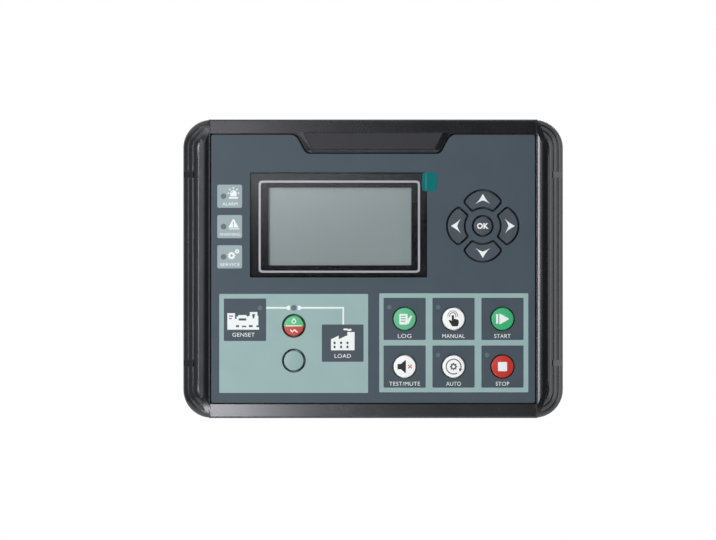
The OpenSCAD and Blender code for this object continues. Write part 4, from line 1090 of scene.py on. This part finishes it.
def halved_finish(colours, height):
    """Green above the middle of the key and red below it."""
    material, tree, shader = new_material("Two-colour key")
    place = tree.nodes.new("ShaderNodeTexCoord")
    axes = tree.nodes.new("ShaderNodeSeparateXYZ")
    tree.links.new(place.outputs["Object"], axes.inputs["Vector"])
    above = add_math(tree, "GREATER_THAN", axes.outputs["Z"], height)
    values = {
        "Tone Spread": 0.06, "Roughness": 0.32, "Roughness Spread": 0.06, "Grain Scale": 2500.0, "Wave": 0.0,
    }
    upper = place_group(tree, moulded_group(), {"Colour": (*colours.half_green, 1), **values})
    lower = place_group(tree, moulded_group(), {"Colour": (*colours.half_red, 1), **values})
    shade = add_mix(tree, above, lower.outputs["Colour"], upper.outputs["Colour"])
    tree.links.new(shade, shader.inputs["Base Color"])
    tree.links.new(upper.outputs["Roughness"], shader.inputs["Roughness"])
    add_relief(tree, shader, upper.outputs["Height"], 0.002, 0.25)
    return material


class CONTROLLER_OT_make_key_mat(bpy.types.Operator):
    """Makes the silicone mat: a sheet, and under each key a dome"""

    bl_idname = "controller.make_key_mat"
    bl_label = "Key mat"

    def execute(self, context):
        silicone = plastic("Silicone mat", linear(196, 198, 196), 0.62, tone=0.08, depth=0.006)
        domes = {name: middle(name) for name in (*FUNCTION_KEYS, "key_breaker", "key_spare", "key_ok")}
        x, z = domes["key_ok"]
        for name, turn in ARROW_KEYS.items():
            a = math.radians(turn)
            domes[name] = (x - ARROW_DOME * math.sin(a), z + ARROW_DOME * math.cos(a))
        back = -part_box("key_mat")[1].y * 1000
        front = back + MAT_SHEET
        inner = DOME_SECTION[2][0]
        holes = [disc(*place, inner, 32) for place in domes.values()]
        holes += [disc(*key_light(name), GUIDE_HOLE, 24) for name in LIT_KEYS]
        holes.append(disc(middle("key_breaker")[0], LINE_Z, GUIDE_HOLE, 24))
        sheet = Plates()
        sheet.add([MAT_OUTLINE] + holes, back, front)
        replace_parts(make_piece("mat_sheet", sheet, silicone, "housing"), "key_mat")
        for name, (x, z) in domes.items():
            short = name.removeprefix("key_")
            dome = Plates()
            dome.add_turned(DOME_SECTION, x, z, front)
            piece = make_piece("mat_dome_" + short, dome, silicone, "housing")
            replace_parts(piece, "key_mat")
            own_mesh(piece)
        return {"FINISHED"}


class CONTROLLER_OT_dress_boards(bpy.types.Operator):
    """Finishes the two boards and the parts on them"""

    bl_idname = "controller.dress_boards"
    bl_label = "Boards"

    def execute(self, context):
        colours = context.scene.controller_colours
        wear(["main_board", "power_board"], board_finish(colours.board))
        cases = (
            (("logic_chips", "buzzer"), "Chip epoxy", (30, 31, 33), 0.6, 0.006, 0.1),
            (("cell_holder", "link_socket", "link_header"), "Connector black", (38, 39, 41), 0.5, 0.005,
             0.12),
            (("relays",), "Relay case", (46, 50, 53), 0.42, 0.004, 0.3),
            (("filter_capacitors",), "Capacitor sleeve", (40, 58, 96), 0.34, 0.003, 0.3),
            (("current_transformers",), "Transformer case", (50, 53, 57), 0.5, 0.006, 0.3),
        )
        for names, label, screen, roughness, depth, edge in cases:
            wear(names, plastic(label, linear(*screen), roughness, depth=depth, edge=edge))
        wear(["board_spacers"], metal("Turned brass", colours.brass, 0.32))
        steel = metal("Plated steel", colours.steel, 0.3)
        wear(["backup_cell", "main_board_screws", "power_board_screws"], steel)
        return {"FINISHED"}


def board_finish(colour):
    """Solder mask over copper tracks."""
    return bricked_finish("Circuit board", {
        "Colour": (*colour, 1), "Tone Spread": 0.12, "Roughness": 0.36, "Roughness Spread": 0.1,
        "Grain Scale": 900.0, "Cloud Scale": 60.0, "Wave": 0.1,
    }, 0.37, {
        "Color2": (0.9, 0.92, 0.9, 1), "Mortar": (1.5, 1.45, 1.2, 1), "Scale": 200.0,
    }, 0.004)


class CONTROLLER_OT_dress_terminals(bpy.types.Operator):
    """Finishes the terminal headers, plugs, pins and screws"""

    bl_idname = "controller.dress_terminals"
    bl_label = "Terminals"

    def execute(self, context):
        colours = context.scene.controller_colours
        blocks = ("top", "left", "right")
        wear(["terminal_header_" + block for block in blocks], plastic(
            "Header moulding", linear(38, 48, 44), 0.46, depth=0.005, edge=0.15,
        ))
        wear(["terminal_plug_" + block for block in blocks], plastic(
            "Terminal green", colours.terminal, 0.42, spread=0.1, tone=0.08, grain=1800.0, depth=0.005,
            edge=0.2,
        ))
        wear(["terminal_pins"], metal("Tinned pin", linear(200, 203, 206), 0.28))
        wear(["terminal_screws"], metal("Plated steel", colours.steel, 0.3))
        return {"FINISHED"}


class CONTROLLER_OT_dress_cover(bpy.types.Operator):
    """Finishes the rear cover, its gasket, the panel clips and their screws"""

    bl_idname = "controller.dress_cover"
    bl_label = "Rear cover"

    def execute(self, context):
        colours = context.scene.controller_colours
        edge = context.scene.controller_sizes.edge * 1000
        wear(["rear_cover"], plastic(
            "Cover moulding", colours.cover, 0.52, spread=0.12, tone=0.14, grain=1400.0, depth=0.012,
            edge=edge * 1.6,
        ))
        wear(["panel_gasket"], plastic(
            "Gasket rubber", linear(42, 43, 44), 0.75, tone=0.12, grain=900.0, depth=0.012,
        ))
        wear(["fixing_clips"], plastic("Clip moulding", colours.clip, 0.5, depth=0.006, edge=edge))
        wear(["cover_screws", "clip_screws"], metal("Plated steel", colours.steel, 0.3))
        return {"FINISHED"}


def add_light(name, place, width, height, brightness, mirrored):
    """A soft rectangular light that faces the object; a mirrored one is met by reflections alone."""
    lamp = bpy.data.lights.new(name, "AREA")
    lamp.shape = "RECTANGLE"
    lamp.size = width
    lamp.size_y = height
    lamp.energy = brightness * math.pi * width * height
    holder = bpy.data.objects.new(name, lamp)
    holder.location = place
    holder.rotation_euler = (-Vector(place)).to_track_quat("-Z", "Y").to_euler()
    holder.visible_camera = False
    holder.visible_diffuse = not mirrored
    bpy.context.scene.collection.objects.link(holder)


def card_finish(name, glow, middle_x, middle_z, reach_x, reach_z):
    """Dark card with a soft pale patch for the gloss to mirror."""
    material, tree, shader = new_material(name)
    skin = place_group(tree, moulded_group(), {
        "Colour": (*linear(22, 22, 24), 1), "Tone Spread": 0.1, "Roughness": 0.9, "Grain Scale": 60.0,
    })
    tree.links.new(skin.outputs["Colour"], shader.inputs["Base Color"])
    tree.links.new(skin.outputs["Roughness"], shader.inputs["Roughness"])
    place = tree.nodes.new("ShaderNodeTexCoord")
    patch = tree.nodes.new("ShaderNodeMapping")
    patch.vector_type = "TEXTURE"
    patch.inputs["Location"].default_value = (middle_x, 0.0, middle_z)
    patch.inputs["Scale"].default_value = (reach_x, 1.0, reach_z)
    tree.links.new(place.outputs["Object"], patch.inputs["Vector"])
    reach = tree.nodes.new("ShaderNodeVectorMath")
    reach.operation = "LENGTH"
    tree.links.new(patch.outputs["Vector"], reach.inputs[0])
    fade = tree.nodes.new("ShaderNodeMapRange")
    fade.interpolation_type = "SMOOTHSTEP"
    fade.inputs["To Min"].default_value = glow
    fade.inputs["To Max"].default_value = 0.0
    tree.links.new(reach.outputs["Value"], fade.inputs["Value"])
    shader.inputs["Emission Color"].default_value = (0.92, 0.96, 1.0, 1)
    tree.links.new(fade.outputs["Result"], shader.inputs["Emission Strength"])
    return material


def add_card(name, place, turn, half, finish):
    """A card met by reflections alone, that keeps the white room off the gloss."""
    mesh = bpy.data.meshes.new(name)
    corners = oblong(-half, -half, half, half, half / 2, 8)
    mesh.from_pydata([(x, 0, z) for x, z in corners], [], [tuple(range(len(corners)))])
    mesh.materials.append(finish)
    card = bpy.data.objects.new(name, mesh)
    card.location = place
    card.rotation_euler = (0, 0, math.radians(turn))
    card.visible_camera = False
    card.visible_diffuse = False
    card.visible_shadow = False
    bpy.context.scene.collection.objects.link(card)


def seen_share(tree):
    """One for rays from the camera, and for those that reach it by way of gloss or glass, and else none."""
    path = tree.nodes.new("ShaderNodeLightPath")
    share = add_math(tree, "MAXIMUM", path.outputs["Is Camera Ray"], path.outputs["Is Glossy Ray"])
    return add_math(tree, "MAXIMUM", share, path.outputs["Is Transmission Ray"])


def set_world(scene, fill):
    """White to the eye and in reflections, a soft fill for everything else."""
    world = bpy.data.worlds.new("Studio")
    scene.world = world
    world.use_nodes = True
    tree = world.node_tree
    ground = tree.nodes["Background"]
    ground.inputs["Color"].default_value = (1.0, 1.0, 1.0, 1)
    ground.inputs["Strength"].default_value = fill
    seen = tree.nodes.new("ShaderNodeBackground")
    seen.inputs["Color"].default_value = (1.0, 1.0, 1.0, 1)
    seen.inputs["Strength"].default_value = 1.0
    mix = tree.nodes.new("ShaderNodeMixShader")
    tree.links.new(seen_share(tree), mix.inputs["Fac"])
    tree.links.new(ground.outputs["Background"], mix.inputs[1])
    tree.links.new(seen.outputs["Background"], mix.inputs[2])
    tree.links.new(mix.outputs["Shader"], tree.nodes["World Output"].inputs["Surface"])


def floor_finish():
    """Pale matt floor that takes shadows and fades out towards its rim."""
    material, tree, shader = new_material("Studio floor")
    shader.inputs["Base Color"].default_value = (0.9, 0.9, 0.9, 1)
    shader.inputs["Roughness"].default_value = 0.9
    glow = tree.nodes.new("ShaderNodeEmission")
    glow.inputs["Color"].default_value = (1.0, 1.0, 1.0, 1)
    tree.links.new(add_math(tree, "MULTIPLY", seen_share(tree), 0.4), glow.inputs["Strength"])
    both = tree.nodes.new("ShaderNodeAddShader")
    tree.links.new(shader.outputs["BSDF"], both.inputs[0])
    tree.links.new(glow.outputs["Emission"], both.inputs[1])
    place = tree.nodes.new("ShaderNodeTexCoord")
    reach = tree.nodes.new("ShaderNodeVectorMath")
    reach.operation = "LENGTH"
    tree.links.new(place.outputs["Object"], reach.inputs[0])
    fade = tree.nodes.new("ShaderNodeMapRange")
    fade.interpolation_type = "SMOOTHSTEP"
    fade.inputs["From Min"].default_value = 0.3
    fade.inputs["From Max"].default_value = 0.7
    tree.links.new(reach.outputs["Value"], fade.inputs["Value"])
    open_way = tree.nodes.new("ShaderNodeBsdfTransparent")
    mix = tree.nodes.new("ShaderNodeMixShader")
    tree.links.new(fade.outputs["Result"], mix.inputs["Fac"])
    tree.links.new(both.outputs["Shader"], mix.inputs[1])
    tree.links.new(open_way.outputs["BSDF"], mix.inputs[2])
    tree.links.new(mix.outputs["Shader"], tree.nodes["Material Output"].inputs["Surface"])
    return material


class CONTROLLER_OT_set_stage(bpy.types.Operator):
    """Sets the floor, the studio light and the camera"""

    bl_idname = "controller.set_stage"
    bl_label = "Studio"

    def execute(self, context):
        scene = context.scene
        stage = scene.controller_stage
        scene.view_settings.view_transform = "Standard"
        set_world(scene, stage.fill)
        mesh = bpy.data.meshes.new("studio_floor")
        rim = [(*point, 0) for point in disc(0, 0, FLOOR_RADIUS, FLOOR_STEPS)]
        mesh.from_pydata(rim, [], [tuple(range(FLOOR_STEPS))])
        mesh.materials.append(floor_finish())
        floor = bpy.data.objects.new("studio_floor", mesh)
        floor.location = (0, 0, -stage.floor_drop)
        scene.collection.objects.link(floor)
        for name, glow, place, turn, half, patch in CARDS:
            finish = card_finish(name.replace("_", " ").capitalize(), getattr(stage, glow), *patch)
            add_card(name, place, turn, half, finish)
        for name, place, width, height, mirrored in LIGHTS:
            add_light(name, place, width, height, getattr(stage, name), mirrored)
        lens = bpy.data.cameras.new("camera")
        lens.sensor_width = SENSOR
        lens.lens = SENSOR * stage.distance / stage.view_width
        camera = bpy.data.objects.new("camera", lens)
        camera.location = (-stage.view_left, -stage.distance, -stage.view_down)
        camera.rotation_euler = (math.radians(90), 0, 0)
        scene.collection.objects.link(camera)
        scene.camera = camera
        return {"FINISHED"}


OPERATORS = (
    CONTROLLER_OT_dress_bezel,
    CONTROLLER_OT_print_overlay,
    CONTROLLER_OT_print_tiles,
    CONTROLLER_OT_print_diagram,
    CONTROLLER_OT_print_words,
    CONTROLLER_OT_dress_indicators,
    CONTROLLER_OT_dress_display,
    CONTROLLER_OT_dress_arrow_keys,
    CONTROLLER_OT_dress_function_keys,
    CONTROLLER_OT_dress_diagram_keys,
    CONTROLLER_OT_make_key_mat,
    CONTROLLER_OT_dress_boards,
    CONTROLLER_OT_dress_terminals,
    CONTROLLER_OT_dress_cover,
    CONTROLLER_OT_set_stage,
)


class CONTROLLER_PT_looks(bpy.types.Panel):
    """Lists the steps that dress the controller, and its colours, sizes and studio"""

    bl_idname = "CONTROLLER_PT_looks"
    bl_label = "Controller looks"
    bl_space_type = "VIEW_3D"
    bl_region_type = "UI"
    bl_category = "Controller"

    def draw(self, context):
        for operator in OPERATORS:
            self.layout.operator(operator.bl_idname)
        for name in ("controller_colours", "controller_sizes", "controller_stage"):
            values = getattr(context.scene, name)
            for label in values.bl_rna.properties.keys():
                if label not in ("rna_type", "name"):
                    self.layout.prop(values, label)


GROUPS = (ControllerColours, ControllerSizes, ControllerStage)


def register():
    for kind in (*GROUPS, *OPERATORS, CONTROLLER_PT_looks):
        bpy.utils.register_class(kind)
    bpy.types.Scene.controller_colours = PointerProperty(type=ControllerColours)
    bpy.types.Scene.controller_sizes = PointerProperty(type=ControllerSizes)
    bpy.types.Scene.controller_stage = PointerProperty(type=ControllerStage)


def unregister():
    del bpy.types.Scene.controller_stage
    del bpy.types.Scene.controller_sizes
    del bpy.types.Scene.controller_colours
    for kind in reversed((*GROUPS, *OPERATORS, CONTROLLER_PT_looks)):
        bpy.utils.unregister_class(kind)


def main():
    register()
    bpy.ops.controller.dress_bezel()
    bpy.ops.controller.print_overlay()
    bpy.ops.controller.print_tiles()
    bpy.ops.controller.print_diagram()
    bpy.ops.controller.print_words()
    bpy.ops.controller.dress_indicators()
    bpy.ops.controller.dress_display()
    bpy.ops.controller.dress_arrow_keys()
    bpy.ops.controller.dress_function_keys()
    bpy.ops.controller.dress_diagram_keys()
    bpy.ops.controller.make_key_mat()
    bpy.ops.controller.dress_boards()
    bpy.ops.controller.dress_terminals()
    bpy.ops.controller.dress_cover()
    bpy.ops.controller.set_stage()


if __name__ == "__main__":
    main()
